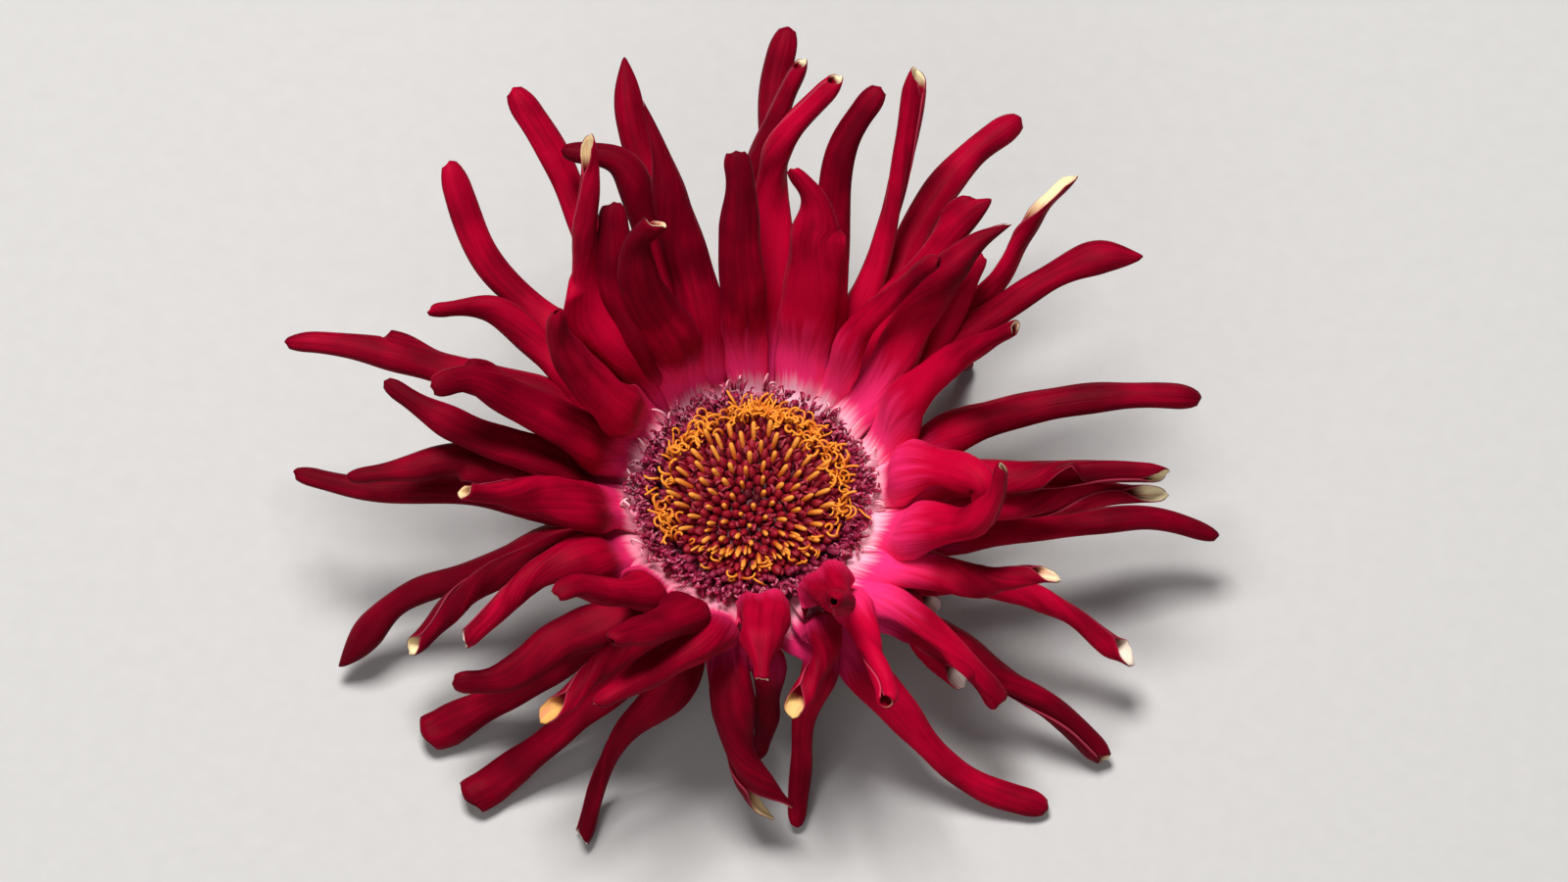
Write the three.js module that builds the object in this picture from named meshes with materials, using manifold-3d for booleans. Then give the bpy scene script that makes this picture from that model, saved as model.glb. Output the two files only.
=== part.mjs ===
// A quilled, spider-type gerbera flower head, picked with a short stub of stem and lying face up.
// Sizes are millimetres. +Z is up, z = 0 is the surface it lies on, and the flower's axis is the Z axis.
import * as THREE from "three";
import { mergeVertices } from "three/addons/utils/BufferGeometryUtils.js";
import Module from "manifold-3d";

const wasm = await Module();
wasm.setup();

const { lerp, degToRad, smoothstep } = THREE.MathUtils;
const GOLDEN_ANGLE = Math.PI * (3 - Math.sqrt(5));

// Driving dimensions.
const FACE_HEIGHT = 26; // the disc's face above the surface
const DISC_RADIUS = 16; // out to the tips of the outer disc florets
const STEM_RADIUS = 3.4;
const GAP = 0.3; // running gap between neighbouring pieces
const BLADE_THICKNESS = 0.9;
const RING_SEGMENTS = 28; // sides of the larger rings

// The rays were sighted from the front, this far above the horizontal.
const SIGHT_ELEVATION = degToRad(63);
const SIGHT_UP = new THREE.Vector3(0, Math.sin(SIGHT_ELEVATION), Math.cos(SIGHT_ELEVATION));
const SIGHT_NEAR = new THREE.Vector3(0, -Math.cos(SIGHT_ELEVATION), Math.sin(SIGHT_ELEVATION));

// Receptacle and the collar that carries the rays, as heights below the face.
const RECEPTACLE_RADIUS = 11;
const RECEPTACLE_TOP = -4.6;
const COLLAR_RADIUS = 14.4;
const COLLAR_TOP = -3.9;
const COLLAR_BOTTOM = -9.6;
const COLLAR_EDGE = 0.6; // bevel of its upper edge

// Where each whorl of rays is rooted: distance from the axis, height below the face, climb at the root.
const WHORLS = {
  inner: { radius: 13.2, height: -4.6, climb: 30 },
  middle: { radius: 13.0, height: -6.0, climb: 12 },
  outer: { radius: 12.8, height: -7.6, climb: -2 },
};
const ROOT_REACH = 4.5; // straight part of a ray at its root

// A ray's section: half angles of an arched blade and of a closed quill, in degrees.
const BLADE_ARCH = 52;
const QUILL_ARCH = 90;
const QUILL_MARGINS = 150; // where the two margins of a quill lie, round from its back

// Stretches of a ray, as shares of its length, in which one form passes into the next.
const WIDENING = [0.05, 0.25];
const ROLLING = [0.18, 0.5];
const NARROWING = [0.3, 0.65];
const TURNING = [0.45, 0.88];
const ENDING = [0.72, 0.94];
const OPENING = [0.8, 0.95];
const CLAW_WIDTH = 0.8; // width at the root, as a share of the blade's
const TIP_WIDTH = 0.55; // width at the very tip, as a share of the end's

// Rays, by whorl: bearing of the root in degrees (0 right, 90 away), route as sighted from the disc's
// centre [across, up, near], then blade, quill and end widths, how far the tip opens (0 to 1) and
// how far its opening is turned from the underside, in degrees.
const RAYS = {
  inner: [
    [92, [[-1.4, 26.2, 1], [-1.4, 36.9, 8], [-2.1, 43.2, 11]], 6, 5.4, 3.6, 0.2, 0],
    [70, [[6.9, 22.5, -2], [8.1, 30.5, 5], [8.2, 36.5, 9], [4.8, 40.9, 12]], 7.6, 6.4, 2.6, 0.2, 0],
    [56, [[12.8, 18.8, 0], [17.1, 24, 5], [21.5, 27.9, 10], [23.6, 29, 13]], 4.4, 3.2, 2.8, 0.3, 60],
    [44, [[18.4, 16.9, -2], [22.8, 25, 2], [27.8, 31, 5], [33.1, 34, 6]], 6.8, 5.2, 2.8, 0.3, -120],
    [24, [[19.6, 11.5, 1], [25.9, 16.5, 7], [30.2, 19.1, 12], [33.5, 20.8, 15]], 6.6, 4.2, 2.4, 0.3, 60],
    [8, [[20.9, 2.6, 4], [26.4, 2.4, 8], [29.2, 0.6, 10], [28.4, -2.2, 8]], 7, 5, 2.8, 0.2, 0],
    [-14, [[21.5, -4.8, 6], [27.4, -4.2, 12], [30.6, -0.8, 17], [31.4, 3.4, 20]], 6.8, 4.4, 2.4, 0.2, 0],
    [-31, [[21.5, -10.4, 4], [29, -11.5, 5], [35.2, -10.8, 6], [39.2, -11.4, 6]], 6, 4.2, 2.8, 0.5, -140],
    [-46, [[18.2, -14.8, 5], [24, -18.4, 5], [28.2, -23.1, 3], [31.6, -27, 1]], 5.2, 3.5, 4.2, 0.4, 20],
    [-50, [[12.9, -15.8, 9], [15.6, -21, 15], [16.9, -25, 18], [17.1, -27, 20]], 5.6, 3.2, 2.6, 0.1, 150],
    [-60, [[8.6, -11.6, 8.5], [10.8, -13.8, 18], [10.3, -13.6, 27]], 7, 4.2, 2.8, 0, 60],
    [-86, [[1.4, -14.6, 9.5], [1.2, -18, 16], [1.2, -24, 20]], 7.2, 5.6, 2.2, 0.2, 20],
    [
      -108, [[-5.8, -17.6, 11], [-11.6, -22.1, 16], [-16.6, -25, 19], [-20, -26.9, 20]],
      7.6, 4.4, 2.8, 0.3, 0,
    ],
    [-122, [[-8.5, -15.4, 13], [-13.2, -17.3, 20], [-17.9, -18.6, 26]], 7.2, 5, 3.2, 0.2, 0],
    [
      -138, [[-14.1, -12.6, 10], [-19.1, -12.6, 17], [-22.2, -12, 21], [-25, -13.2, 23]],
      6.8, 4.2, 3.2, 0.1, 0,
    ],
    [-176, [[-22.2, -1.5, 6], [-29.1, -0.5, 12], [-36.6, -0.2, 18]], 7.2, 5, 2.4, 0.6, 100],
    [158, [[-21.6, 6.9, 2], [-29.1, 11.2, 7], [-35.4, 14.1, 12], [-40.8, 13.1, 15]], 7, 5, 3, 0.3, 60],
    [142, [[-17.2, 11, 3], [-22.2, 15.6, 11], [-24.5, 19.4, 17], [-24.4, 22.8, 21]], 7, 5, 2.8, 0.2, 0],
    [
      118, [[-9.8, 18.8, -1], [-13.6, 25.6, 7], [-14.6, 31, 12], [-11.8, 34.1, 15]],
      7.2, 5.6, 2.8, 0.4, 120,
    ],
  ],
  middle: [
    [84, [[2.8, 25, -6], [2.5, 36.2, -3], [4.2, 45, 0], [11.2, 52.8, 3]], 5.4, 4.8, 3.2, 0.25, -60],
    [52, [[14.6, 18.8, -6], [20.9, 27.5, -4], [25.9, 33.5, -2], [30.5, 37.1, 0]], 5, 3.8, 4.2, 0.4, 0],
    [38, [[19.6, 13.8, -5], [25.2, 22.5, -3], [29.4, 30.2, -1]], 5.8, 4.4, 2.8, 0.2, 0],
    [30, [[22.8, 16.9, -5], [33.4, 24, -4], [42.8, 29.2, -3], [49.9, 29.8, -3]], 5.4, 3.5, 5.4, 0.3, 0],
    [
      14, [[22.8, 6.2, -2], [33.4, 9.5, -1], [42.8, 11.6, 0], [50.2, 12.1, 0], [57.2, 11.6, -1]],
      5.8, 4, 3.4, 0.15, 0,
    ],
    [-2, [[22.8, 1, 0], [34, 1.4, 2], [44, 2.5, 3], [53.1, 2.2, 3]], 5.8, 4.4, 2.8, 0.4, 100],
    [-10, [[22.8, -1.5, -2], [35.2, -1.6, -2], [44, -0.6, -1], [53.1, -0.6, 0]], 5.6, 4.2, 2.4, 0.8, 165],
    [
      -34, [[21.5, -10.6, -2], [34, -13.1, -4], [40.9, -16, -6], [45.2, -19.4, -7], [48.9, -22.5, -8]],
      5.4, 3.2, 3.6, 0.45, -100,
    ],
    [-37, [[17.8, -10.6, -1], [21.2, -13.2, -0.5], [23.9, -15.2, -0.5]], 4.4, 3.2, 2.4, 0.8, 150],
    [-42, [[18.6, -15, -3], [22.6, -20.8, -4], [27.1, -25.2, -4]], 4.6, 3.4, 3, 0.85, 160],
    [
      -48, [[19, -16.2, 0], [29, -22.5, -3], [38.4, -27.8, -6], [45.6, -34.8, -10]],
      5.4, 3.8, 3.2, 0.2, 120,
    ],
    [-66, [[9.2, -17.5, 7], [8.8, -21, 11], [6.8, -25, 13], [5, -28.8, 14]], 5, 3.6, 3, 0.7, 160],
    [-100, [[-3.2, -23.8, 6], [-2, -31.9, 4], [1.2, -38.1, 1], [4.8, -41, -1]], 5.8, 5, 4.6, 0.6, 150],
    [
      -118, [[-9.8, -23.8, 2], [-16, -30.6, -1], [-19.5, -37.5, -4], [-21.8, -45.2, -5]],
      5.4, 3.2, 3.2, 0.3, 30,
    ],
    [
      -130, [[-14.8, -18.8, 8], [-20.4, -23.1, 11], [-23.5, -26.6, 12], [-26.9, -29.4, 12]],
      5.6, 3.6, 3.2, 0.8, 160,
    ],
    [
      -146, [[-17.2, -15.6, 3], [-24.8, -19.4, 3], [-32.2, -23.8, 3], [-38.3, -24.5, 4]],
      6.6, 4.8, 3.4, 0.3, 40,
    ],
    [-158, [[-21, -8.5, 5], [-27.5, -10.4, 8], [-32.2, -15.2, 8], [-36.8, -19.5, 8]], 6.8, 4, 2.8, 0.3, 60],
    [-166, [[-22.2, -7.5, 0], [-31, -10, 0], [-38.5, -15.2, -2], [-44, -21, -4]], 5.8, 3.8, 2.8, 0.6, 180],
    [178, [[-26, 1.2, -2], [-37.2, 3.8, 0], [-43.5, 3, 0], [-51.8, 1.6, 0]], 5.6, 4.4, 2.2, 0.2, 0],
    [168, [[-24.8, 3.8, 0], [-33.5, 6.2, 3], [-41, 10.2, 4], [-46.9, 13.9, 4]], 5.6, 4.6, 2.4, 0.3, 30],
    [146, [[-18.5, 10, -4], [-26, 17.5, -4], [-32.9, 23.1, -3], [-41.6, 22.8, -1]], 5.8, 4.2, 2.4, 0.4, 60],
    [
      126, [[-12.9, 15.6, -6], [-20.2, 23.8, -3], [-21.4, 31.9, 2], [-20.6, 38.8, 6], [-20.6, 45.2, 9]],
      7.2, 4, 2.8, 0.6, -100,
    ],
    [122, [[-12.2, 17.5, -5], [-16.5, 25, -2], [-17.5, 31.2, 1], [-17.8, 36.8, 3]], 6.6, 5.4, 3.8, 0.2, 0],
    [106, [[-5.8, 18.8, -6], [-8.2, 29.4, -3], [-10.8, 40, 1], [-14, 49.6, 3]], 6.4, 5.2, 2.4, 0.5, -70],
    [68, [[9.6, 22.5, -6], [10, 35, -3], [11.6, 43.8, 0], [16.4, 51.4, 2]], 5.6, 4.4, 3.4, 0.1, 0],
  ],
  outer: [
    [96, [[0.9, 27.5, -9], [0.2, 38.8, -6], [3.4, 48.8, -3], [6.6, 55.1, -1]], 5, 4.4, 3.2, 0.25, -60],
    [88, [[2.2, 27.5, -11], [2.5, 40, -13], [2.9, 51.2, -15], [4.6, 59.6, -15]], 4.8, 3.2, 4.1, 0.1, 0],
    [64, [[12.8, 21.2, -9], [16.8, 32.5, -7], [19.6, 43.8, -4], [20.9, 54, -2]], 4.8, 2.9, 3.4, 0.35, 110],
    [54, [[16.5, 22.5, -11], [22.1, 35, -14], [27.8, 42.8, -16], [34.6, 47.8, -17]], 5, 4.2, 3.8, 0.1, 0],
    [
      36, [[24, 19.4, -8], [31.5, 26.9, -6], [34.8, 32.5, -4], [37.5, 36.5, -2], [41.4, 40.1, -1]],
      5.2, 3, 4, 0.8, -125,
    ],
    [-18, [[24, -5.6, -5], [37.8, -5, -9], [50.2, -3.5, -12], [59.9, -6.1, -15]], 5.4, 3.5, 3, 0.2, 0],
    [
      -58, [[14, -22.5, -1], [21.5, -31.9, -3], [29.6, -38.1, -6], [37.8, -40.9, -7]],
      5.4, 3.5, 3.5, 0.2, 0,
    ],
    [-74, [[8.8, -21.2, 3], [6.5, -30, -1], [5.8, -37.5, -5], [5.6, -43.2, -6]], 5, 3, 2.6, 0.2, 0],
    [-92, [[2.1, -22.5, 4], [1.9, -28, 0], [0.5, -34.4, -6]], 4.8, 3.2, 2.4, 0.2, 0],
    [-134, [[-16, -22.5, -1], [-24.1, -30.6, -4], [-31, -35.6, -7], [-36.6, -40.1, -8]], 5.4, 4, 5, 0.2, 0],
    [-150, [[-21, -18.8, -3], [-31, -25.6, -8], [-42, -31.9, -12]], 5.4, 4.4, 5, 0.1, 0],
    [
      -172, [[-23.5, -6, -4], [-36, -10.9, -8], [-46, -14.8, -11], [-53.2, -22.8, -14]],
      5.4, 3.4, 5.2, 0.3, 0,
    ],
    [-178, [[-26, -1.2, -4], [-39.8, 0, -6], [-49.8, 0.4, -7], [-58.9, 2.2, -7]], 5.4, 3.8, 2.6, 0.2, 0],
    [
      160, [[-22.2, 9.4, -4], [-33.5, 13.5, -4], [-46, 17.5, -3], [-54.8, 18.8, -2], [-59.8, 18.8, -2]],
      5.8, 4.4, 2.6, 0.2, 0,
    ],
    [
      138, [[-18.5, 15.6, -7], [-27.9, 23.5, -7], [-34.8, 30.6, -6], [-38.9, 42.1, -4]],
      5.4, 4.2, 3.8, 0.15, 0,
    ],
    [128, [[-16, 22.5, -9], [-21.6, 34.4, -8], [-26, 43.8, -7], [-30.8, 51.5, -6]], 5.4, 4.1, 3.6, 0.2, 0],
    [114, [[-9.8, 22.5, -8], [-14.1, 35.6, -4], [-17, 41.9, -2], [-24.5, 43.4, -1]], 5.6, 4.4, 2.8, 0.2, 0],
    [108, [[-7, 21.2, -9], [-12, 35, -9], [-15, 45, -9], [-16.5, 55.5, -9]], 5.2, 3.6, 4.4, 0.15, 0],
    [100, [[-4.3, 19.2, -16.5], [-6.4, 26.1, -29], [-8, 29.1, -42.7]], 5, 3.4, 3, 0.1, 0],
    [78, [[5.2, 19.1, -16.5], [7.7, 25.9, -28.9], [9.6, 28.8, -42.3]], 5, 3.4, 3, 0.1, 0],
    [48, [[16, 13.1, -13.4], [22.8, 16.2, -24], [28.1, 16.5, -36.3]], 5, 3.4, 3, 0.1, 0],
    [124, [[-13.4, 15, -14.4], [-19, 18.8, -25.3], [-23.5, 19.7, -37.9]], 5, 3.4, 3, 0.1, 0],
  ],
};
const RAY_STATIONS = [0, 0.14, 0.3, 0.46, 0.62, 0.78, 0.94, 1]; // shares of a ray's length

// Sections of bracts and of small florets, in half widths and thicknesses.
const BLADE = [[1, -0.5], [0.7, 0.5], [-0.7, 0.5], [-1, -0.5]];
const THREAD = [[1, -0.5], [0, 0.5], [-1, -0.5]];

// Materials.
const petal = new THREE.MeshStandardMaterial({ color: 0xb00530, roughness: 0.6, metalness: 0 });
const purple = new THREE.MeshStandardMaterial({ color: 0x57203d, roughness: 0.7, metalness: 0 });
const orange = new THREE.MeshStandardMaterial({ color: 0xe0921f, roughness: 0.6, metalness: 0 });
const crimson = new THREE.MeshStandardMaterial({ color: 0x7a0d1f, roughness: 0.7, metalness: 0 });
const green = new THREE.MeshStandardMaterial({ color: 0x5d7a35, roughness: 0.7, metalness: 0 });
const paleGreen = new THREE.MeshStandardMaterial({ color: 0x8aa35a, roughness: 0.6, metalness: 0 });

// A repeatable stream of numbers from 0 to 1.
function seeded(seed) {
  let state = seed;
  return () => {
    state = (state * 1664525 + 1013904223) % 4294967296;
    return state / 4294967296;
  };
}

// A closed geometry as a solid for joining and cutting.
function solidOf(geometry) {
  const bare = geometry.index ? geometry.toNonIndexed() : geometry.clone();
  bare.deleteAttribute("normal");
  bare.deleteAttribute("uv");
  const merged = mergeVertices(bare, 1e-4);
  return new wasm.Manifold(
    new wasm.Mesh({
      numProp: 3,
      vertProperties: merged.attributes.position.array,
      triVerts: new Uint32Array(merged.index.array),
    }),
  );
}

// A solid as a named mesh, lifted from the disc's face to its height above the surface.
function meshOf(name, solid, material) {
  const made = solid.getMesh();
  const geometry = new THREE.BufferGeometry();
  const positions = new Float32Array(made.vertProperties);
  geometry.setAttribute("position", new THREE.BufferAttribute(positions, 3));
  geometry.setIndex(new THREE.BufferAttribute(new Uint32Array(made.triVerts), 1));
  geometry.computeVertexNormals();
  const mesh = new THREE.Mesh(geometry, material);
  mesh.name = name;
  mesh.position.z = FACE_HEIGHT;
  return mesh;
}

// A skin through rings of equally many points, closed by a fan at each end.
function loft(rings) {
  const count = rings[0].length;
  const points = rings.flat();
  const faces = [];
  for (let r = 0; r + 1 < rings.length; r++) {
    for (let i = 0; i < count; i++) {
      const a = r * count + i;
      const b = r * count + ((i + 1) % count);
      faces.push([a, b, b + count], [a, b + count, a + count]);
    }
  }
  const last = (rings.length - 1) * count;
  for (let i = 1; i + 1 < count; i++) {
    faces.push([0, i + 1, i], [last, last + i, last + i + 1]);
  }
  const positions = faces.flat().flatMap((index) => points[index].toArray());
  return new THREE.BufferGeometry().setAttribute(
    "position",
    new THREE.Float32BufferAttribute(positions, 3),
  );
}

// A body of revolution about Z from [radius, height] pairs.
function turned(profile, segments) {
  const outline = profile.map(([radius, height]) => new THREE.Vector2(radius, height));
  return solidOf(new THREE.LatheGeometry(outline, segments).rotateX(Math.PI / 2));
}

// A point sighted from the front, relative to the disc's centre.
function sighted([across, up, near]) {
  return new THREE.Vector3(across, 0, 0)
    .addScaledVector(SIGHT_UP, up)
    .addScaledVector(SIGHT_NEAR, near);
}

// A point at a bearing, distance and height about the axis.
function around(bearing, radius, height) {
  return new THREE.Vector3(radius * Math.cos(bearing), radius * Math.sin(bearing), height);
}

// Places along a curve with a frame that turns no more than the curve does, starting with its
// normal as near as it can be to upward.
function framesAlong(curve, shares, upward) {
  const frames = [];
  let normal = upward.clone();
  for (const share of shares) {
    const tangent = curve.getTangentAt(share);
    normal = normal.clone().addScaledVector(tangent, -normal.dot(tangent)).normalize();
    const side = new THREE.Vector3().crossVectors(tangent, normal);
    frames.push({ share, point: curve.getPointAt(share), normal, side });
  }
  return frames;
}

// A section of a ray: an arched blade where roll is 0 and a closed quill where it is 1.
function raySection(width, roll) {
  const half = degToRad(lerp(BLADE_ARCH, QUILL_ARCH, roll));
  const radius = width / 2 / Math.sin(half);
  const inner = Math.max(radius - BLADE_THICKNESS, 0.2 * radius);
  const margin = degToRad(QUILL_MARGINS);
  const back = [-1, -0.5, 0, 0.5, 1].map((f) => [
    radius * Math.sin(half * f),
    radius * Math.cos(half * f),
  ]);
  const front = [1, -1].map((f) => [
    lerp(inner * Math.sin(0.5 * half * f), radius * Math.sin(margin * f), roll),
    lerp(inner * Math.cos(0.5 * half), radius * Math.cos(margin), roll),
  ]);
  const middle = (radius + front[0][1]) / 2;
  return [...back, ...front].map(([across, up]) => [across, up - middle]);
}

// Width of a ray at a share of its length: claw, blade, quill, then its end.
function rayWidth(share, blade, quill, end) {
  const body = lerp(CLAW_WIDTH * blade, blade, smoothstep(share, ...WIDENING));
  const tube = lerp(body, quill, smoothstep(share, ...NARROWING));
  const tip = lerp(tube, end, smoothstep(share, ...ENDING));
  return share < 1 ? tip : TIP_WIDTH * tip;
}

// One ray: a blade at the root that rolls into a quill, whose tip opens again.
function rayFloret(whorl, [bearing, route, blade, quill, end, opening, turn]) {
  const angle = degToRad(bearing);
  const climb = degToRad(whorl.climb);
  const root = around(angle, whorl.radius, whorl.height);
  const collar = around(
    angle,
    whorl.radius + ROOT_REACH * Math.cos(climb),
    whorl.height + ROOT_REACH * Math.sin(climb),
  );
  const curve = new THREE.CatmullRomCurve3([root, collar, ...route.map(sighted)]);
  curve.curveType = "catmullrom";
  curve.tension = 0.5;
  const frames = framesAlong(curve, RAY_STATIONS, new THREE.Vector3(0, 0, 1));
  const rings = frames.map(({ share, point, normal, side }) => {
    const rolled = smoothstep(share, ...ROLLING) * (1 - opening * smoothstep(share, ...OPENING));
    const section = raySection(rayWidth(share, blade, quill, end), rolled);
    const twist = degToRad(turn) * smoothstep(share, ...TURNING);
    const [c, s] = [Math.cos(twist), Math.sin(twist)];
    return section.map(([across, up]) => {
      const placed = point
        .clone()
        .addScaledVector(side, across * c - up * s)
        .addScaledVector(normal, across * s + up * c);
      placed.z = Math.max(placed.z, -FACE_HEIGHT); // it lies on the surface, never in it
      return placed;
    });
  });
  return solidOf(loft(rings));
}

// All the rays, joined by the collar that they grow from, clear of the disc florets.
function rayFlorets() {
  const bore = RECEPTACLE_RADIUS + GAP;
  const collar = turned(
    [
      [bore, COLLAR_BOTTOM],
      [COLLAR_RADIUS - 1.6, COLLAR_BOTTOM],
      [COLLAR_RADIUS, COLLAR_BOTTOM + 2],
      [COLLAR_RADIUS, COLLAR_TOP - COLLAR_EDGE],
      [COLLAR_RADIUS - COLLAR_EDGE, COLLAR_TOP],
      [bore, COLLAR_TOP],
      [bore, COLLAR_BOTTOM],
    ],
    RING_SEGMENTS,
  );
  const rays = Object.entries(WHORLS).flatMap(([name, whorl]) =>
    RAYS[name].map((row) => rayFloret(whorl, row)),
  );
  const floor = COLLAR_TOP + GAP;
  const high = 8;
  const room = turned(
    [
      [12, floor],
      [13.8, floor + 0.1],
      [DISC_RADIUS + GAP, -1.4],
      [DISC_RADIUS + GAP, high],
      [12, high],
      [12, floor],
    ],
    RING_SEGMENTS,
  );
  return wasm.Manifold.union([collar, ...rays]).subtract(room);
}

// A blade or thread through places given as [distance, height, width, thickness] along a bearing,
// leaning sideways by skew at its tip.
function lobe(section, bearing, places, skew = 0) {
  const rings = places.map(([radius, height, width, thickness], i) => {
    const turn = bearing + (skew / radius) * (i / (places.length - 1));
    const before = places[Math.max(i - 1, 0)];
    const after = places[Math.min(i + 1, places.length - 1)];
    const slope = Math.atan2(after[1] - before[1], after[0] - before[0]);
    const middle = around(turn, radius, height);
    const side = around(turn + Math.PI / 2, 1, 0);
    const up = around(turn, -Math.sin(slope), Math.cos(slope));
    return section.map(([across, lift]) =>
      middle
        .clone()
        .addScaledVector(side, (across * width) / 2)
        .addScaledVector(up, lift * thickness),
    );
  });
  return solidOf(loft(rings));
}

// Lobes at even bearings, each varied a little in bearing, height and skew.
function ringOfLobes(section, count, start, places, { sway = 0, lift = 0, skew = 0 }, random) {
  return Array.from({ length: count }, (_, i) => {
    const bearing = ((i + start + sway * (random() - 0.5)) / count) * 2 * Math.PI;
    const raised = lift * (random() - 0.5);
    const varied = places.map(([radius, height, width, thickness], k) => [
      radius,
      height + raised * (k / (places.length - 1)),
      width,
      thickness,
    ]);
    return lobe(section, bearing, varied, skew * (random() - 0.5));
  });
}

// The green core: the stub of stem widening into the receptacle that carries the florets.
function stemReceptacle() {
  return turned(
    [
      [0, -FACE_HEIGHT],
      [STEM_RADIUS, -FACE_HEIGHT],
      [STEM_RADIUS, -17.5],
      [4.2, -16.6],
      [10.2, -11.8],
      [RECEPTACLE_RADIUS, -10.4],
      [RECEPTACLE_RADIUS, RECEPTACLE_TOP],
      [0, RECEPTACLE_TOP],
    ],
    28,
  );
}

// Two rows of bracts on the cup that wraps the receptacle under the rays.
function involucreBracts() {
  const random = seeded(11);
  const cup = turned(
    [
      [4.5, -16.9],
      [5.1, -17.7],
      [11.1, -12.9],
      [12.9, -10.2],
      [RECEPTACLE_RADIUS + 0.4, -10.2],
      [10.6, -12.0],
      [4.5, -16.9],
    ],
    26,
  );
  const low = [[9, -14.8, 3.2, 1], [12.6, -13, 2.8, 0.9], [15.2, -14, 0.9, 0.7]];
  const high = [[11.2, -12, 2.8, 1], [14.4, -11.2, 2.6, 0.9], [16.9, -12, 0.9, 0.7]];
  return wasm.Manifold.union([
    cup,
    ...ringOfLobes(BLADE, 13, 0, low, { sway: 0.3, lift: 0.6, skew: 2 }, random),
    ...ringOfLobes(BLADE, 13, 0.5, high, { sway: 0.3, lift: 0.4, skew: 2 }, random),
  ]);
}

// The outer ring of small purple florets, in two rows on a low ring.
function outerFlorets() {
  const random = seeded(23);
  const ring = turned(
    [
      [12.3, -3.3],
      [13.3, -3.3],
      [13.6, -2.6],
      [13.4, -1.5],
      [12.3, -1.5],
      [12.3, -3.3],
    ],
    32,
  );
  const far = [[13.2, -1.9, 1.5, 1], [14.7, -0.8, 1.4, 0.9], [DISC_RADIUS - 0.1, 0, 0.7, 0.6]];
  const near = [[12.9, -1.9, 1.2, 1], [13.7, -0.3, 1.1, 0.9], [14.6, 0.7, 0.6, 0.6]];
  return wasm.Manifold.union([
    ring,
    ...ringOfLobes(THREAD, 34, 0, far, { sway: 0.4, lift: 0.7, skew: 1.2 }, random),
    ...ringOfLobes(THREAD, 26, 0.5, near, { sway: 0.4, lift: 0.6, skew: 1 }, random),
  ]);
}

// The ring of opened disc florets, whose orange lobes curl outward and down.
function openedFlorets() {
  const random = seeded(37);
  const ring = turned(
    [
      [10.5, -3.6],
      [12, -3.6],
      [12, -1.6],
      [10.5, -1.6],
      [10.5, -3.6],
    ],
    32,
  );
  const curled = [[11.3, -2, 1, 1], [11.9, 0, 1, 0.9], [12.8, 0.9, 0.9, 0.8], [13.5, 1.3, 0.7, 0.7]];
  return wasm.Manifold.union([
    ring,
    ...ringOfLobes(THREAD, 36, 0, curled, { sway: 0.4, lift: 0.8, skew: 1.6 }, random),
  ]);
}

// The disc's inner florets in a sunflower spiral, each leaning further out the further out it stands.
function discFlorets() {
  const count = 64;
  const reach = 8.5; // distance of the outermost from the axis
  const foot = -2.6; // height that they rise from
  const random = seeded(53);
  const pad = turned(
    [
      [0, RECEPTACLE_TOP + GAP],
      [10.1, RECEPTACLE_TOP + GAP],
      [10.1, -2.5],
      [9.6, -2],
      [0, -2],
    ],
    20,
  );
  const sticks = Array.from({ length: count }, (_, k) => {
    const radius = reach * Math.sqrt((k + 1.2) / (count + 1.2));
    const lean = degToRad(lerp(6, 40, smoothstep(radius, 0, 7)) + 8 * (random() - 0.5));
    const length = lerp(2, 3, smoothstep(radius, 0, 8)) + 0.4 * random();
    const at = (along, width) => [
      radius + along * Math.sin(lean),
      foot + along * Math.cos(lean),
      width,
      0.85 * width,
    ];
    return lobe(THREAD, k * GOLDEN_ANGLE, [at(0, 1), at(0.85 * length, 1.1), at(length, 0.6)]);
  });
  return wasm.Manifold.union([pad, ...sticks]);
}

const flower = new THREE.Group();
flower.add(
  meshOf("stem_receptacle", stemReceptacle(), paleGreen),
  meshOf("involucre_bracts", involucreBracts(), green),
  meshOf("ray_florets", rayFlorets(), petal),
  meshOf("outer_florets", outerFlorets(), purple),
  meshOf("opened_florets", openedFlorets(), orange),
  meshOf("disc_florets", discFlorets(), crimson),
);

export default flower;
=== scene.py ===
"""A picked spider gerbera bloom: quilled crimson rays round a dark red and orange disc, on a pale floor."""

import logging
import math
from dataclasses import dataclass, field
from enum import Enum
from functools import cache
from typing import Any, Callable, Sequence

import bpy
import numpy as np
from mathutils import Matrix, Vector


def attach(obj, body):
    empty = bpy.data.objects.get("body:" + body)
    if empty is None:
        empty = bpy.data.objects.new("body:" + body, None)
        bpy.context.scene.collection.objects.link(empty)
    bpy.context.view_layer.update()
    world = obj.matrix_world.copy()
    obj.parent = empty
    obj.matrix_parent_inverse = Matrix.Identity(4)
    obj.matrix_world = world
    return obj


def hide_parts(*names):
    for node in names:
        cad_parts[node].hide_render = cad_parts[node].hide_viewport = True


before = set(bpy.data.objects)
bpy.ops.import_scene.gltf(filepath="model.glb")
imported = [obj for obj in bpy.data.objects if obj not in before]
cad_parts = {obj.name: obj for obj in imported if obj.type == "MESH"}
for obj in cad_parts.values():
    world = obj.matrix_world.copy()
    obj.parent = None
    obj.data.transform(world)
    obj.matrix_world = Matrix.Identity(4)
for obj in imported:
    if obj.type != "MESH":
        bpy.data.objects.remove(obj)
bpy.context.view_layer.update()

log = logging.getLogger("gerbera")
Array = np.ndarray
Colour = tuple[float, float, float]
Span = tuple[float, float]
Wave = tuple[float, float, float]
MM = 0.001
UP = np.array([0.0, 0.0, 1.0])
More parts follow.
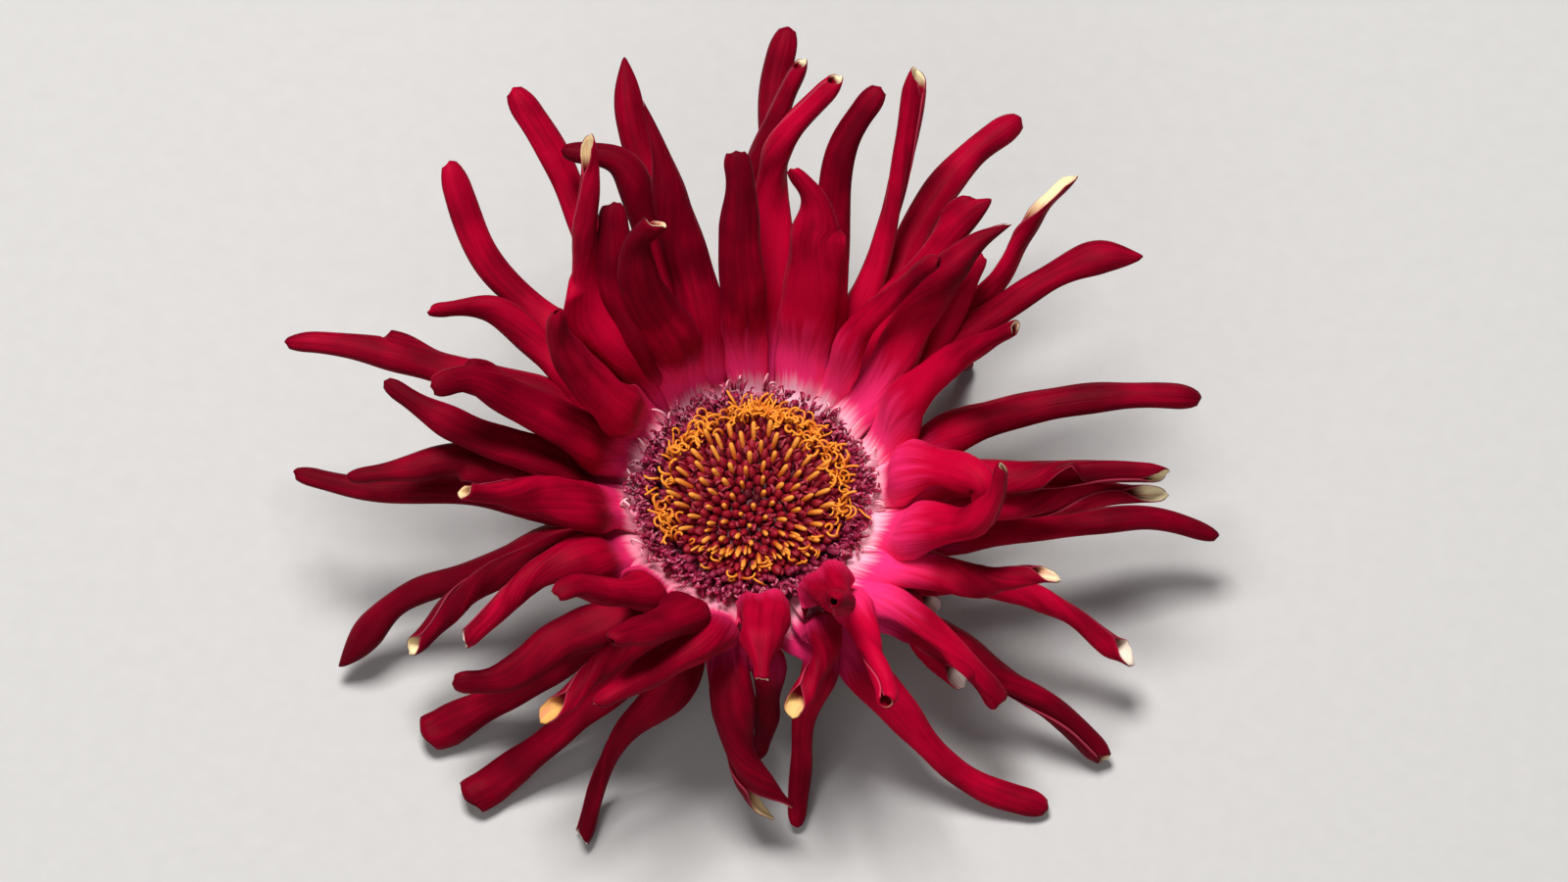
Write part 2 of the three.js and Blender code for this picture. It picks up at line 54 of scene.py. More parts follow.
GOLDEN_ANGLE = math.pi * (3 - math.sqrt(5))


class Whorl(Enum):
    """Rows of rays: distance of the root from the axis, its depth below the face, its climb in degrees."""

    INNER = (13.2, 4.6, 30.0)
    MIDDLE = (13.0, 6.0, 12.0)
    OUTER = (12.8, 7.6, -2.0)


class Tip(Enum):
    """Ends of a ray: share where it begins, width left, bluntness, tooth depth, depth of a middle notch."""

    ROUND = (0.93, 0.35, 2.0, 0.004, 0.0)
    SHUT = (0.93, 0.06, 2.0, 0.0, 0.0)
    POINTED = (0.84, 0.08, 0.9, 0.0, 0.0)
    SQUARE = (0.975, 0.78, 2.0, 0.012, 0.0)
    OPEN = (0.97, 0.85, 2.0, 0.006, 0.0)
    FORKED = (0.96, 0.5, 2.0, 0.0, 0.16)


@dataclass(frozen=True)
class Sight:
    """The line along which the bloom is seen, and the place of the disc's face. Sizes in mm."""

    elevation: float = math.radians(63)
    face_height: float = 26.0

    def place(self, route: Sequence[Sequence[float]]) -> Array:
        """Turn sighted points into points in space.

        In words: the point is the disc's centre, plus across along X, plus up along the sight's
        upward direction, plus near along the direction back to the eye.

        Args:
            route: rows of across, up and near, from the disc's centre.

        Returns:
            Rows of x, y and z above the floor.
        """
        across, up, near = np.asarray(route, float).T
        sine, cosine = math.sin(self.elevation), math.cos(self.elevation)
        return np.stack(
            [across, up * sine - near * cosine, self.face_height + up * cosine + near * sine], axis=1
        )


SIGHT = Sight()
FACE = SIGHT.face_height


@dataclass(frozen=True)
class Ray:
    """One ray floret, in mm and degrees.

    bearing is that of the root, 0 right and 90 away; route is sighted from the disc's centre as
    across, up, near; opening is how far the end opens over the length of its scoop, and turn how far
    its opening faces round from the underside; shoulder is the share of the length where one margin
    stands out before it rolls in, its side and its size; crease is the depth of the middle groove.
    The last field sets the underside's cream in painted light and shade: 0 a darker honey in painted
    shade, 0.5 plain cream and 1 a pinkish white in painted light.
    """

    bearing: float
    route: tuple[tuple[float, float, float], ...]
    blade: float
    quill: float
    end: float
    opening: float = 0.2
    turn: float = 0.0
    tip: Tip = Tip.ROUND
    scoop: float = 3.0
    shoulder: tuple[float, int, float] = (0.5, 1, 0.0)
    crease: float = 0.15
    # How the underside is painted: 0 in painted shade, 0.5 plain cream, 1 in painted light.
    reverse: float = 0.45


INNER_RAYS = (
    Ray(92, ((-1.4, 26.2, 1), (-1.4, 36.9, 8), (-2.1, 43.2, 11)), 6, 5.4, 3.6, crease=0.3),
    Ray(70, ((6.9, 22.5, -2), (8.1, 30.5, 5), (8.2, 36.5, 9), (4.8, 40.9, 12)), 7.6, 6.4, 2.6,
        shoulder=(0.74, 1, 1.1), crease=0.35),
    Ray(56, ((12.8, 18.8, 0), (17.1, 24, 5), (21.5, 27.9, 10), (23.6, 29, 13)), 4.4, 3.2, 2.8, opening=0,
        turn=60, tip=Tip.SHUT, scoop=2),
    Ray(44, ((18.4, 16.9, -2), (22.8, 25, 2), (27.8, 31, 5), (33.1, 34, 6)), 6.8, 5.2, 2.8, opening=0.3,
        turn=-120, tip=Tip.POINTED, crease=0.3, reverse=0.9),
    Ray(24, ((19.6, 11.5, 1), (25.9, 16.5, 7), (30.2, 19.1, 12), (33.5, 20.8, 15)), 6.6, 4.2, 2.4,
        opening=0.3, turn=60, tip=Tip.OPEN, scoop=1.5, crease=0.3),
    Ray(8, ((20.9, 2.6, 4), (26.4, 2.4, 8), (29.2, 0.6, 10), (28.4, -2.2, 8)), 7.8, 5, 2.8, opening=0,
        tip=Tip.SHUT, crease=0.5),
    Ray(-14, ((21.5, -4.8, 6), (27.4, -4.2, 12), (30.6, -0.8, 17), (31.4, 3.4, 20)), 7.6, 4.4, 2.4,
        crease=0.4),
    Ray(-31, ((21.5, -10.4, 4), (29, -11.5, 5), (35.2, -10.8, 6), (39.2, -11.4, 6)), 6, 4.2, 2.8,
        opening=0.85, turn=-160, scoop=2.8, crease=0.3, reverse=0.5),
    Ray(-46, ((18.2, -14.8, 5), (24, -18.4, 5), (28.2, -23.1, 3), (31.6, -27, 1)), 5.2, 3.5, 4.2,
        opening=0.4, turn=20, tip=Tip.SQUARE, scoop=2.5, shoulder=(0.8, 1, 0.8)),
    Ray(-50, ((12.9, -15.8, 9), (15.6, -21, 15), (16.9, -25, 18), (17.1, -27, 20)), 5.6, 3.2, 3.1,
        opening=0.1, turn=150, scoop=1.5),
    Ray(-60, ((8.6, -11.6, 8.5), (10.8, -13.8, 18), (10.3, -13.6, 27)), 7, 4.2, 2.8, opening=0, turn=60,
        tip=Tip.SHUT, scoop=1.5, crease=0.9),
    Ray(-86, ((1.4, -14.6, 9.5), (1.2, -18, 16), (1.2, -24, 20)), 7.2, 5.6, 2.2, turn=20, tip=Tip.OPEN,
        scoop=2, crease=0.9),
    Ray(-108, ((-5.8, -17.6, 11), (-11.6, -22.1, 16), (-16.6, -25, 19), (-20, -26.9, 20)), 7.6, 4.4, 2.8,
        opening=0.3, scoop=1.5, crease=0.3),
    Ray(-122, ((-8.5, -15.4, 13), (-13.2, -17.3, 20), (-17.9, -18.6, 26)), 7.2, 5, 3.2, opening=0,
        tip=Tip.SHUT, crease=0.3),
    Ray(-138, ((-14.1, -12.6, 10), (-19.1, -12.6, 17), (-22.2, -12, 21), (-25, -13.2, 23)), 6.8, 4.2, 3.2,
        opening=0.1),
    Ray(-176, ((-22.2, -1.5, 6), (-29.1, -0.5, 12), (-36.6, -0.2, 18)), 7.2, 5, 3, opening=0.3, turn=100,
        tip=Tip.OPEN, scoop=2.8, crease=0.4, reverse=0.3),
    Ray(158, ((-21.6, 6.9, 2), (-29.1, 11.2, 7), (-35.4, 14.1, 12), (-40.8, 13.1, 15)), 7, 5, 3.3,
        opening=0.15, scoop=2, shoulder=(0.84, 1, 1), crease=0.3, reverse=0.3),
    Ray(142, ((-17.2, 11, 3), (-22.2, 15.6, 11), (-24.5, 19.4, 17), (-24.4, 22.8, 21)), 7, 5, 2.8,
        opening=0, tip=Tip.SHUT, crease=0.4),
    Ray(118, ((-9.8, 18.8, -1), (-13.6, 25.6, 7), (-14.6, 31, 12), (-11.8, 34.1, 15)), 7.2, 5.6, 3.6,
        opening=0.25, tip=Tip.OPEN, scoop=2.5, crease=0.4, reverse=0.4),
)

MIDDLE_RAYS = (
    Ray(84, ((2.8, 25, -6), (2.5, 36.2, -3), (4.2, 45, 0), (11.2, 52.8, 3)), 5.4, 4.8, 3.2, opening=0.35,
        turn=-125, scoop=1.2, reverse=0.6),
    Ray(52, ((14.6, 18.8, -6), (20.9, 27.5, -4), (25.9, 33.5, -2), (30.5, 37.1, 0)), 5, 3.8, 4.2,
        tip=Tip.POINTED, scoop=2, shoulder=(0.93, -1, 0.9)),
    Ray(38, ((19.6, 13.8, -5), (25.2, 22.5, -3), (29.4, 30.2, -1)), 5.8, 4.4, 2.8, crease=0.3),
    Ray(30, ((22.8, 16.9, -5), (33.4, 24, -4), (42.8, 29.2, -3), (49.9, 29.8, -3)), 5.4, 3.5, 5.4,
        opening=0.3, tip=Tip.POINTED, scoop=4),
    Ray(14, ((22.8, 6.2, -2), (33.4, 9.5, -1), (42.8, 11.6, 0), (50.2, 12.1, 0), (57.2, 11.6, -1)), 5.8, 4,
        3.4, opening=0.15),
    Ray(-2, ((22.8, 1, 1), (34, 1.4, 2), (44, 2.5, 3), (53.1, 2.2, 3)), 5.8, 4.4, 2.8, opening=0.4,
        turn=100, scoop=2.5, shoulder=(0.72, 1, 1.3)),
    Ray(-10, ((22.8, -1.5, 0.5), (35.2, -1.6, -2), (44, -0.6, -1), (53.1, -0.6, 0)), 5.6, 4.2, 2.4,
        opening=0.8, turn=165, scoop=4),
    Ray(-34, ((21.5, -10.6, -2), (34, -13.1, -4), (40.9, -16, -6), (45.2, -19.4, -7), (48.9, -22.5, -8)),
        5.4, 3.2, 3.6, opening=0.95, turn=-168, scoop=3.2, reverse=0.8),
    Ray(-37, ((17.8, -10.6, -1), (21.2, -13.2, -0.5), (23.9, -15.2, -0.5)), 4.4, 3.2, 2.2, opening=0.7,
        turn=150, scoop=2, reverse=1),
    Ray(-42, ((18.6, -15, -3), (22.6, -20.8, -4), (27.1, -25.2, -4)), 4.6, 3.4, 2.6, opening=0.7, turn=160,
        scoop=2.6, reverse=1),
    Ray(-48, ((19, -16.2, 0), (29, -22.5, -3), (38.4, -27.8, -6), (45.6, -34.8, -10)), 5.4, 3.8, 3.2,
        turn=120, scoop=1.5),
    Ray(-66, ((9.2, -17.5, 7), (8.8, -21, 11), (6.8, -25, 13), (5, -28.8, 14)), 5, 3.6, 3, opening=0.7,
        turn=180, scoop=2.8, reverse=0.15),
    Ray(-100, ((-3.2, -23.8, 6), (-2, -31.9, 4), (1.2, -38.1, 1), (4.8, -41, -1)), 5.8, 5, 4.6, opening=0.6,
        turn=150, tip=Tip.FORKED, scoop=4.5, reverse=0.3),
    Ray(-118, ((-9.8, -23.8, 2), (-16, -30.6, -1), (-19.5, -37.5, -4), (-21.8, -45.2, -5)), 5.4, 3.2, 3.2,
        opening=0.5, turn=110, tip=Tip.OPEN, scoop=1.4, reverse=0.8),
    Ray(-130, ((-14.8, -18.8, 8), (-20.4, -23.1, 11), (-23.5, -26.6, 12), (-26.9, -29.4, 12)), 5.6, 3.6,
        3.2, opening=0.8, turn=160, scoop=3.5, reverse=0.05),
    Ray(-146, ((-17.2, -15.6, 3), (-24.8, -19.4, 3), (-32.2, -23.8, 3), (-38.3, -24.5, 4)), 6.6, 4.8, 3.4,
        opening=0.3, turn=40, scoop=1.5, crease=0.3, reverse=0.8),
    Ray(-158, ((-21, -8.5, 5), (-27.5, -10.4, 8), (-32.2, -15.2, 8), (-36.8, -19.5, 8)), 6.8, 4, 2.8,
        opening=0.4, turn=120, tip=Tip.OPEN, scoop=1.2, crease=0.3, reverse=0.8),
    Ray(-166, ((-22.2, -7.5, 0), (-31, -10, 0), (-38.5, -15.2, -2), (-44, -21, -4)), 5.8, 3.8, 2.8,
        opening=0.6, turn=180, scoop=2.2, reverse=0.35),
    Ray(178, ((-26, 1.2, -2), (-37.2, 3.8, 0), (-43.5, 3, 0), (-51.8, 1.6, 0)), 5.6, 4.4, 2.2,
        shoulder=(0.62, -1, 1)),
    Ray(168, ((-24.8, 3.8, 0), (-33.5, 6.2, 3), (-41, 10.2, 4), (-46.9, 13.9, 4)), 5.6, 4.6, 2.4,
        opening=0.3, turn=30, scoop=1.5, crease=0.7),
    Ray(146, ((-18.5, 10, -4), (-26, 17.5, -4), (-32.9, 23.1, -3), (-41.6, 22.8, -1)), 5.8, 4.2, 2.4,
        opening=0.4, turn=60, scoop=2.5, shoulder=(0.55, 1, 1.1)),
    Ray(126, ((-12.9, 15.6, -6), (-20.2, 23.8, -3), (-21.4, 31.9, 2), (-20.6, 38.8, 6), (-20.6, 45.2, 9)),
        7.2, 4, 2.8, opening=0.6, turn=-100, scoop=4, shoulder=(0.56, -1, 2), reverse=0.3),
    Ray(122, ((-12.2, 17.5, -5), (-16.5, 25, -2), (-17.5, 31.2, 1), (-17.8, 36.8, 3)), 6.6, 5.4, 3.8,
        crease=0.4),
    Ray(106, ((-5.8, 18.8, -6), (-8.2, 29.4, -3), (-10.8, 40, 1), (-14, 49.6, 3)), 6.4, 5.2, 2.4,
        opening=0.5, turn=-70, tip=Tip.POINTED, scoop=14),
    Ray(68, ((9.6, 22.5, -6), (10, 35, -3), (11.6, 43.8, 0), (16.4, 51.4, 2)), 5.6, 4.4, 3.4, opening=0.1),
)

OUTER_RAYS = (
    Ray(96, ((0.9, 27.5, -9), (0.2, 38.8, -6), (3.4, 48.8, -3), (6.6, 55.1, -1)), 5, 4.4, 3.2, opening=0.35,
        turn=-125, scoop=1.2, reverse=0.6),
    Ray(88, ((2.2, 27.5, -11), (2.5, 40, -13), (2.9, 51.2, -15), (4.6, 59.6, -15)), 4.8, 3.2, 4.1,
        opening=0.1),
    Ray(64, ((12.8, 21.2, -9), (16.8, 32.5, -7), (19.6, 43.8, -4), (20.9, 54, -2)), 4.8, 2.9, 3.4,
        opening=0.35, turn=110, scoop=2.5),
    Ray(54, ((16.5, 22.5, -11), (22.1, 35, -14), (27.8, 42.8, -16), (34.6, 47.8, -17)), 5, 4.2, 3.8,
        opening=0.1),
    Ray(36, ((24, 19.4, -8), (31.5, 26.9, -6), (34.8, 32.5, -4), (37.5, 36.5, -2), (41.4, 40.1, -1)), 5.2,
        3, 4.6, opening=1, turn=-120, scoop=8, reverse=0.4),
    Ray(-18, ((24, -5.6, -5), (37.8, -5, -9), (50.2, -3.5, -12), (59.9, -6.1, -15)), 5.4, 3.5, 3),
    Ray(-58, ((14, -22.5, -1), (21.5, -31.9, -3), (29.6, -38.1, -6), (37.8, -40.9, -7)), 5.4, 3.5, 3.5),
    Ray(-74, ((8.8, -21.2, 3), (6.5, -30, -1), (5.8, -37.5, -5), (5.6, -43.2, -6)), 5, 3, 2.6),
    Ray(-92, ((2.1, -22.5, 4), (1.9, -28, 0), (0.5, -34.4, -6)), 4.8, 3.2, 2.4),
    Ray(-134, ((-16, -22.5, -1), (-24.1, -30.6, -4), (-31, -35.6, -7), (-36.6, -40.1, -8)), 5.4, 4, 5,
        tip=Tip.SQUARE),
    Ray(-150, ((-21, -18.8, -3), (-31, -25.6, -8), (-42, -31.9, -12)), 5.4, 4.4, 5, opening=0.1,
        tip=Tip.SQUARE),
    Ray(-172, ((-23.5, -6, -4), (-36, -10.9, -8), (-46, -14.8, -11), (-53.2, -22.8, -14)), 5.4, 3.4, 5.2,
        opening=0.3, tip=Tip.POINTED, scoop=5),
    Ray(-178, ((-26, -1.2, -4), (-39.8, 0, -6), (-49.8, 0.4, -7), (-58.9, 2.2, -7)), 5.4, 3.8, 2.6),
    Ray(160, ((-22.2, 9.4, -4), (-33.5, 13.5, -4), (-46, 17.5, -3), (-54.8, 18.8, -2), (-59.8, 18.8, -2)),
        5.8, 4.4, 2.6, shoulder=(0.76, 1, 1.2)),
    Ray(138, ((-18.5, 15.6, -7), (-27.9, 23.5, -7), (-34.8, 30.6, -6), (-38.9, 42.1, -4)), 5.4, 4.2, 3.8,
        opening=0.15),
    Ray(128, ((-16, 22.5, -9), (-21.6, 34.4, -8), (-26, 43.8, -7), (-30.8, 51.5, -6)), 5.4, 4.1, 3.6),
    Ray(114, ((-9.8, 22.5, -8), (-14.1, 35.6, -4), (-17, 41.9, -2), (-24.5, 43.4, -1)), 5.6, 4.4, 2.8),
    Ray(108, ((-7, 21.2, -9), (-12, 35, -9), (-15, 45, -9), (-16.5, 55.5, -9)), 5.2, 3.6, 4.4, opening=0.15,
        tip=Tip.POINTED, scoop=5),
    Ray(100, ((-4.3, 19.2, -16.5), (-6.4, 26.1, -29), (-8, 29.1, -42.7)), 5, 3.4, 3, opening=0.1),
    Ray(78, ((5.2, 19.1, -16.5), (7.7, 25.9, -28.9), (9.6, 28.8, -42.3)), 5, 3.4, 3, opening=0.1),
    Ray(48, ((16, 13.1, -13.4), (22.8, 16.2, -24), (28.1, 16.5, -36.3)), 5, 3.4, 3, opening=0.1),
    Ray(124, ((-13.4, 15, -14.4), (-19, 18.8, -25.3), (-23.5, 19.7, -37.9)), 5, 3.4, 3, opening=0.1),
)


def smoothstep(value: Array, low: float, high: float) -> Array:
    """Rise smoothly from 0 at low to 1 at high: three times the square less twice the cube."""
    share = np.clip((value - low) / (high - low), 0.0, 1.0)
    return share * share * (3 - 2 * share)


def lerp(start: Any, stop: Any, share: Any) -> Any:
    """Go from start to stop by a share from 0 to 1."""
    return start + (stop - start) * share


def unit(vectors: Array) -> Array:
    """Scale vectors to length 1 along the last axis."""
    return vectors / np.maximum(np.linalg.norm(vectors, axis=-1, keepdims=True), 1e-9)


def around(bearing: Any, radius: Any, height: Any) -> Array:
    """Place points at a bearing in radians, a distance from the axis and a height."""
    bearing, radius, height = np.broadcast_arrays(bearing, radius, height)
    return np.stack([radius * np.cos(bearing), radius * np.sin(bearing), height], axis=-1)


def spline(points: Array, shares: Array) -> Array:
    """Read a Catmull-Rom curve at even shares of its length.

    In words: each stretch is a cubic through two neighbours, whose slope at a point is half the
    step from the point before it to the point after it.

    Args:
        points: rows of control points.
        shares: shares of the curve's length, from 0 to 1.

    Returns:
        One row of x, y, z for each share.
    """
    ends = np.vstack([2 * points[0] - points[1], points, 2 * points[-1] - points[-2]])
    stretches = len(points) - 1
    place = np.linspace(0, stretches, 40 * stretches + 1)
    index = np.minimum(place.astype(int), stretches - 1)
    f = (place - index)[:, None]
    before, start, stop, after = (ends[index + k] for k in range(4))
    slope_in, slope_out = (stop - before) / 2, (after - start) / 2
    curve = (
        start
        + f * slope_in
        + f**2 * (3 * (stop - start) - 2 * slope_in - slope_out)
        + f**3 * (2 * (start - stop) + slope_in + slope_out)
    )
    lengths = np.concatenate([[0.0], np.cumsum(np.linalg.norm(np.diff(curve, axis=0), axis=1))])
    wanted = shares * lengths[-1]
    return np.stack([np.interp(wanted, lengths, curve[:, k]) for k in range(3)], axis=1)


@dataclass
class Shape:
    """A mesh in the making: points in mm, faces, values carried by its points, and end faces."""

    points: Array
    faces: Array
    values: dict[str, Array] = field(default_factory=dict)
    caps: list[Array] = field(default_factory=list)

    @staticmethod
    def joined(shapes: Sequence["Shape"]) -> "Shape":
        """Put several shapes into one.

        Args:
            shapes: shapes that carry the same values.

        Returns:
            One shape with all their points, faces and values.
        """
        starts = np.cumsum([0] + [len(shape.points) for shape in shapes[:-1]])
        return Shape(
            np.concatenate([shape.points for shape in shapes]),
            np.concatenate([shape.faces + start for shape, start in zip(shapes, starts)]),
            {name: np.concatenate([shape.values[name] for shape in shapes]) for name in shapes[0].values},
            [cap + start for shape, start in zip(shapes, starts) for cap in shape.caps],
        )

    def piece(self, name: str, slot: str, finish: "Finish", *nodes: str) -> None:
        """Make the shape a piece of the scene, at the origin, and report it.

        Args:
            name: the piece's name.
            slot: not used.
            finish: its finish.
            nodes: the nodes that it stands for.
        """
        mesh = bpy.data.meshes.new(name)
        faces = self.faces.tolist() + [ring.tolist() for cap in self.caps for ring in cap]
        mesh.from_pydata((self.points * MM).tolist(), [], faces)
        mesh.polygons.foreach_set("use_smooth", np.ones(len(mesh.polygons), bool))
        for label, value in self.values.items():
            kind, item = ("FLOAT_VECTOR", "vector") if value.ndim == 2 else ("FLOAT", "value")
            layer = mesh.attributes.new(label, kind, "POINT")
            layer.data.foreach_set(item, value.astype(np.float32).ravel())
        mesh.update()
        mesh.materials.append(finish.material())
        made = added(name, mesh)
        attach(made, "root")
        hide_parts(*nodes)
        triangles = sum(len(polygon.vertices) - 2 for polygon in mesh.polygons)
        log.info("%s: %d triangles", name, triangles)


def added(name: str, data: Any) -> bpy.types.Object:
    """Add an object to the scene.

    Args:
        name: its name.
        data: the mesh, light or camera that it shows.

    Returns:
        The object.
    """
    made = bpy.data.objects.new(name, data)
    bpy.context.collection.objects.link(made)
    return made


def walls(index: Array) -> Array:
    """Give the four-cornered faces of a grid whose columns close round.

    Args:
        index: numbers of the points, rows by columns, or one such grid after another.

    Returns:
        Rows of four numbers, round each face as seen from outside.
    """
    following = np.roll(index, -1, axis=-1)
    low, high = slice(None, -1), slice(1, None)
    corners = [index[..., low, :], following[..., low, :], following[..., high, :], index[..., high, :]]
    return np.stack(corners, axis=-1).reshape(-1, 4)


def shell(outer: Array, inner: Array, values: dict[str, tuple[Array, Array]]) -> Shape:
    """Close a thin sheet: an outer and an inner grid joined along all four edges.

    Args:
        outer: rows by columns of outer points, whose columns run left to right seen with rows upward.
        inner: the points of the other face.
        values: for each name, its values on the outer and on the inner grid.

    Returns:
        One closed shape, with its faces pointing out.
    """
    rows, columns = outer.shape[:2]
    ring = 2 * columns
    index = np.arange(rows * ring).reshape(rows, ring)
    left = np.arange(columns - 1)
    right = ring - 1 - left
    first, last = index[0], index[-1]
    start = np.stack([first[left], first[right], first[right - 1], first[left + 1]], axis=-1)
    stop = np.stack([last[left], last[left + 1], last[right - 1], last[right]], axis=-1)

    def loop(outside: Array, inside: Array) -> Array:
        """Run across the outer grid and back across the inner one."""
        both = np.concatenate([outside, inside[:, ::-1]], axis=1)
        return both.reshape(rows * ring, -1) if both.ndim == 3 else both.ravel()

    carried = {name: loop(*pair) for name, pair in values.items()}
    return Shape(loop(outer, inner), np.concatenate([walls(index), start, stop]), carried)


def strands(
    paths: Array, broad: Array, half_width: Array, half_depth: Array, sides: int, **values: Array
) -> Shape:
    """Carry an ellipse along many paths at once and close both its ends.

    In words: at each station the ellipse's broad axis lies along the given direction made square
    to the path, and its other axis is square to both.

    Args:
        paths: strands by stations of points.
        broad: the direction of the broad axis, one for each strand or station.
        half_width: half the width along the broad axis, strands by stations.
        half_depth: half the depth across it, strands by stations.
        sides: points round the ellipse.
        values: values to carry, strands by stations.

    Returns:
        One shape that holds all the strands.
    """
    count, stations = paths.shape[:2]
    tangent = unit(np.gradient(paths, axis=1))
    broad = np.broadcast_to(broad.reshape(count, -1, 3), paths.shape)
    across = unit(broad - np.sum(broad * tangent, axis=-1, keepdims=True) * tangent)
    depth = np.cross(tangent, across)
    angle = np.linspace(0, 2 * np.pi, sides, endpoint=False)
    points = (
        paths[:, :, None]
        + across[:, :, None] * (half_width[..., None] * np.cos(angle))[..., None]
        + depth[:, :, None] * (half_depth[..., None] * np.sin(angle))[..., None]
    )
    index = np.arange(count * stations * sides).reshape(count, stations, sides)
    carried = {
        name: np.repeat(np.broadcast_to(value, (count, stations)), sides).astype(float)
        for name, value in values.items()
    }
    return Shape(points.reshape(-1, 3), walls(index), carried, [index[:, 0, ::-1], index[:, -1]])


def lathe(
    profile: Sequence[tuple[float, float]],
    sides: int,
    ripple: Callable[[Array, Array], Array | float] = lambda bearing, height: 0.0,
) -> Shape:
    """Turn a profile about the axis and close it at its two ends.

    In words: the radius at a bearing is the profile's radius plus the ripple there.

    Args:
        profile: radius and height, from the bottom up.
        sides: points round the axis.
        ripple: gives the change of radius from the bearing and the height.

    Returns:
        The turned shape, closed by a flat face at each end.
    """
    radius, height = np.asarray(profile, float).T
    bearing = np.linspace(0, 2 * np.pi, sides, endpoint=False)
    radii = radius[:, None] + ripple(bearing[None], height[:, None])
    points = around(bearing[None], radii, height[:, None])
    index = np.arange(len(radius) * sides).reshape(-1, sides)
    return Shape(points.reshape(-1, 3), walls(index), {}, [index[:1, ::-1], index[-1:]])


def compass(bearing: Array) -> tuple[Array, Array]:
    """Give the outward and the sideways direction at bearings in radians, which are unit vectors."""
    return around(bearing, 1.0, 0.0), around(bearing + np.pi / 2, 1.0, 0.0)


def walked(bearing: Array, start: Array, heading: Array, climb: Array, length: Array) -> Array:
    """Walk threads on from their starts.

    In words: each step goes along a direction that lies at its heading from outward round towards
    sideways, and at its climb above the level.

    Args:
        bearing: bearings of the threads in radians.
        start: their starts.
        heading: headings in radians, threads by stations.
        climb: climbs in radians, threads by stations.
        length: their lengths.

    Returns:
        Threads by stations of points.
    """
    outward, sideways = (direction[:, None] for direction in compass(bearing))
    flat = outward * np.cos(heading)[..., None] + sideways * np.sin(heading)[..., None]
    direction = flat * np.cos(climb)[..., None] + UP * np.sin(climb)[..., None]
    return start[:, None] + np.cumsum(direction, axis=1) * length[:, None, None] / heading.shape[1]


@dataclass(frozen=True)
class Stalk:
    """A kind of straight stalk. Sizes in mm.

    foot is its depth below the disc's face, form the share of its half width at each station, and
    sides the number of points round it.
    """

    foot: float
    half_width: float
    form: tuple[float, ...]
    sides: int

    def grow(
        self, bearing: Array, radius: Array, lean: Array, length: Array, own: Any, tint: Array,
        skew: Any = 0.0, sag: float = 0.0, ripe: Any = 1.0,
    ) -> Shape:
        """Build many of them, each leaning outward.

        In words: along its length a stalk goes outward by the sine of its lean and up by the
        cosine, less a sag that grows with the square of the share.

        Args:
            bearing: their bearings in radians.
            radius: distances of their feet from the axis.
            lean: leans from upright in radians.
            length: their lengths.
            own: factors of the half width.
            tint: values of the tint.
            skew: sideways drift of the end.
            sag: drop of the end of a level stalk.
            ripe: factors of the value along.

        Returns:
            One shape that holds them all.
        """
        step = np.linspace(0, 1, len(self.form))[None]
        lean, length = lean[:, None], length[:, None]
        reach = radius[:, None] + np.sin(lean) * step * length
        rise = FACE - self.foot + np.cos(lean) * step * length
        rise = rise - sag * step**2 * np.sin(lean)
        own, skew, ripe = (np.broadcast_to(value, bearing.shape)[:, None] for value in (own, skew, ripe))
        paths = around(bearing[:, None] + skew * step / np.maximum(reach, 1.5), reach, rise)
        width = self.half_width * np.array(self.form)[None] * own
        side = compass(bearing)[1]
        return strands(paths, side, width, width, self.sides, along=step * ripe, tint=tint[:, None])

    def ring(self, seed: int, count: int, radius: Span, lean: Span, length: Span, root: float) -> Shape:
        """Build a ring of them, with sizes drawn evenly from spans.

        Args:
            seed: seed of the draws.
            count: their number.
            radius: span of the distances from the axis.
            lean: span of the leans in degrees.
            length: span of the lengths.
            root: how far their feet lie further in.

        Returns:
            One shape that holds them all.
        """
        rng = np.random.default_rng(seed)
        bearing = np.arange(count) * GOLDEN_ANGLE
        radii, leans, lengths = (rng.uniform(*span, count) for span in (radius, lean, length))
        return self.grow(bearing, radii - root, np.radians(leans), lengths, 1.0, rng.random(count))


@dataclass(frozen=True)
class Lip:
    """A kind of small curled lip in mm: form as a stalk's, and flatness its depth to its width."""

    half_width: float
    form: tuple[float, ...]
    flatness: float

    def grow(
        self, start: Array, stem: Array, heading: Array, bend: Array, size: Array, own: Any, tint: Array
    ) -> Shape:
        """Build many of them.

        In words: a lip sets off along its stem and follows a circle over towards its heading.

        Args:
            start: their feet.
            stem: directions in which they set off.
            heading: directions towards which they bend.
            bend: angles through which they bend, in radians.
            size: radii of their circles.
            own: factors of the half width.
            tint: values of the tint.

        Returns:
            One shape that holds them all.
        """
        step = np.linspace(0, 1, len(self.form))[None, :, None]
        turned = step * bend[:, None, None]
        curve = stem[:, None] * np.sin(turned) + heading[:, None] * (1 - np.cos(turned))
        paths = start[:, None] + size[:, None, None] * curve
        width = self.half_width * np.array(self.form)[None] * np.broadcast_to(own, bend.shape)[:, None]
        side = np.cross(stem, heading)
        return strands(paths, side, width, self.flatness * width, 5, along=step[..., 0], tint=tint[:, None])


def operator(operation: str, swapped: bool = False) -> Callable[["Value", Any], "Value"]:
    """Make an operator of Value that adds a Math node.

    Args:
        operation: the node's operation.
        swapped: whether the other number comes first.

    Returns:
        The operator.
    """

    def apply(value: "Value", other: Any) -> "Value":
        """Add the node.

        Args:
            value: the value whose operator it is.
            other: another value or a number.

        Returns:
            The new value.
        """
        sides = {0: other, 1: value} if swapped else {0: value, 1: other}
        node = value.paint.node("ShaderNodeMath", {"operation": operation}, sides)
        return Value(value.paint, node.outputs[0])

    return apply


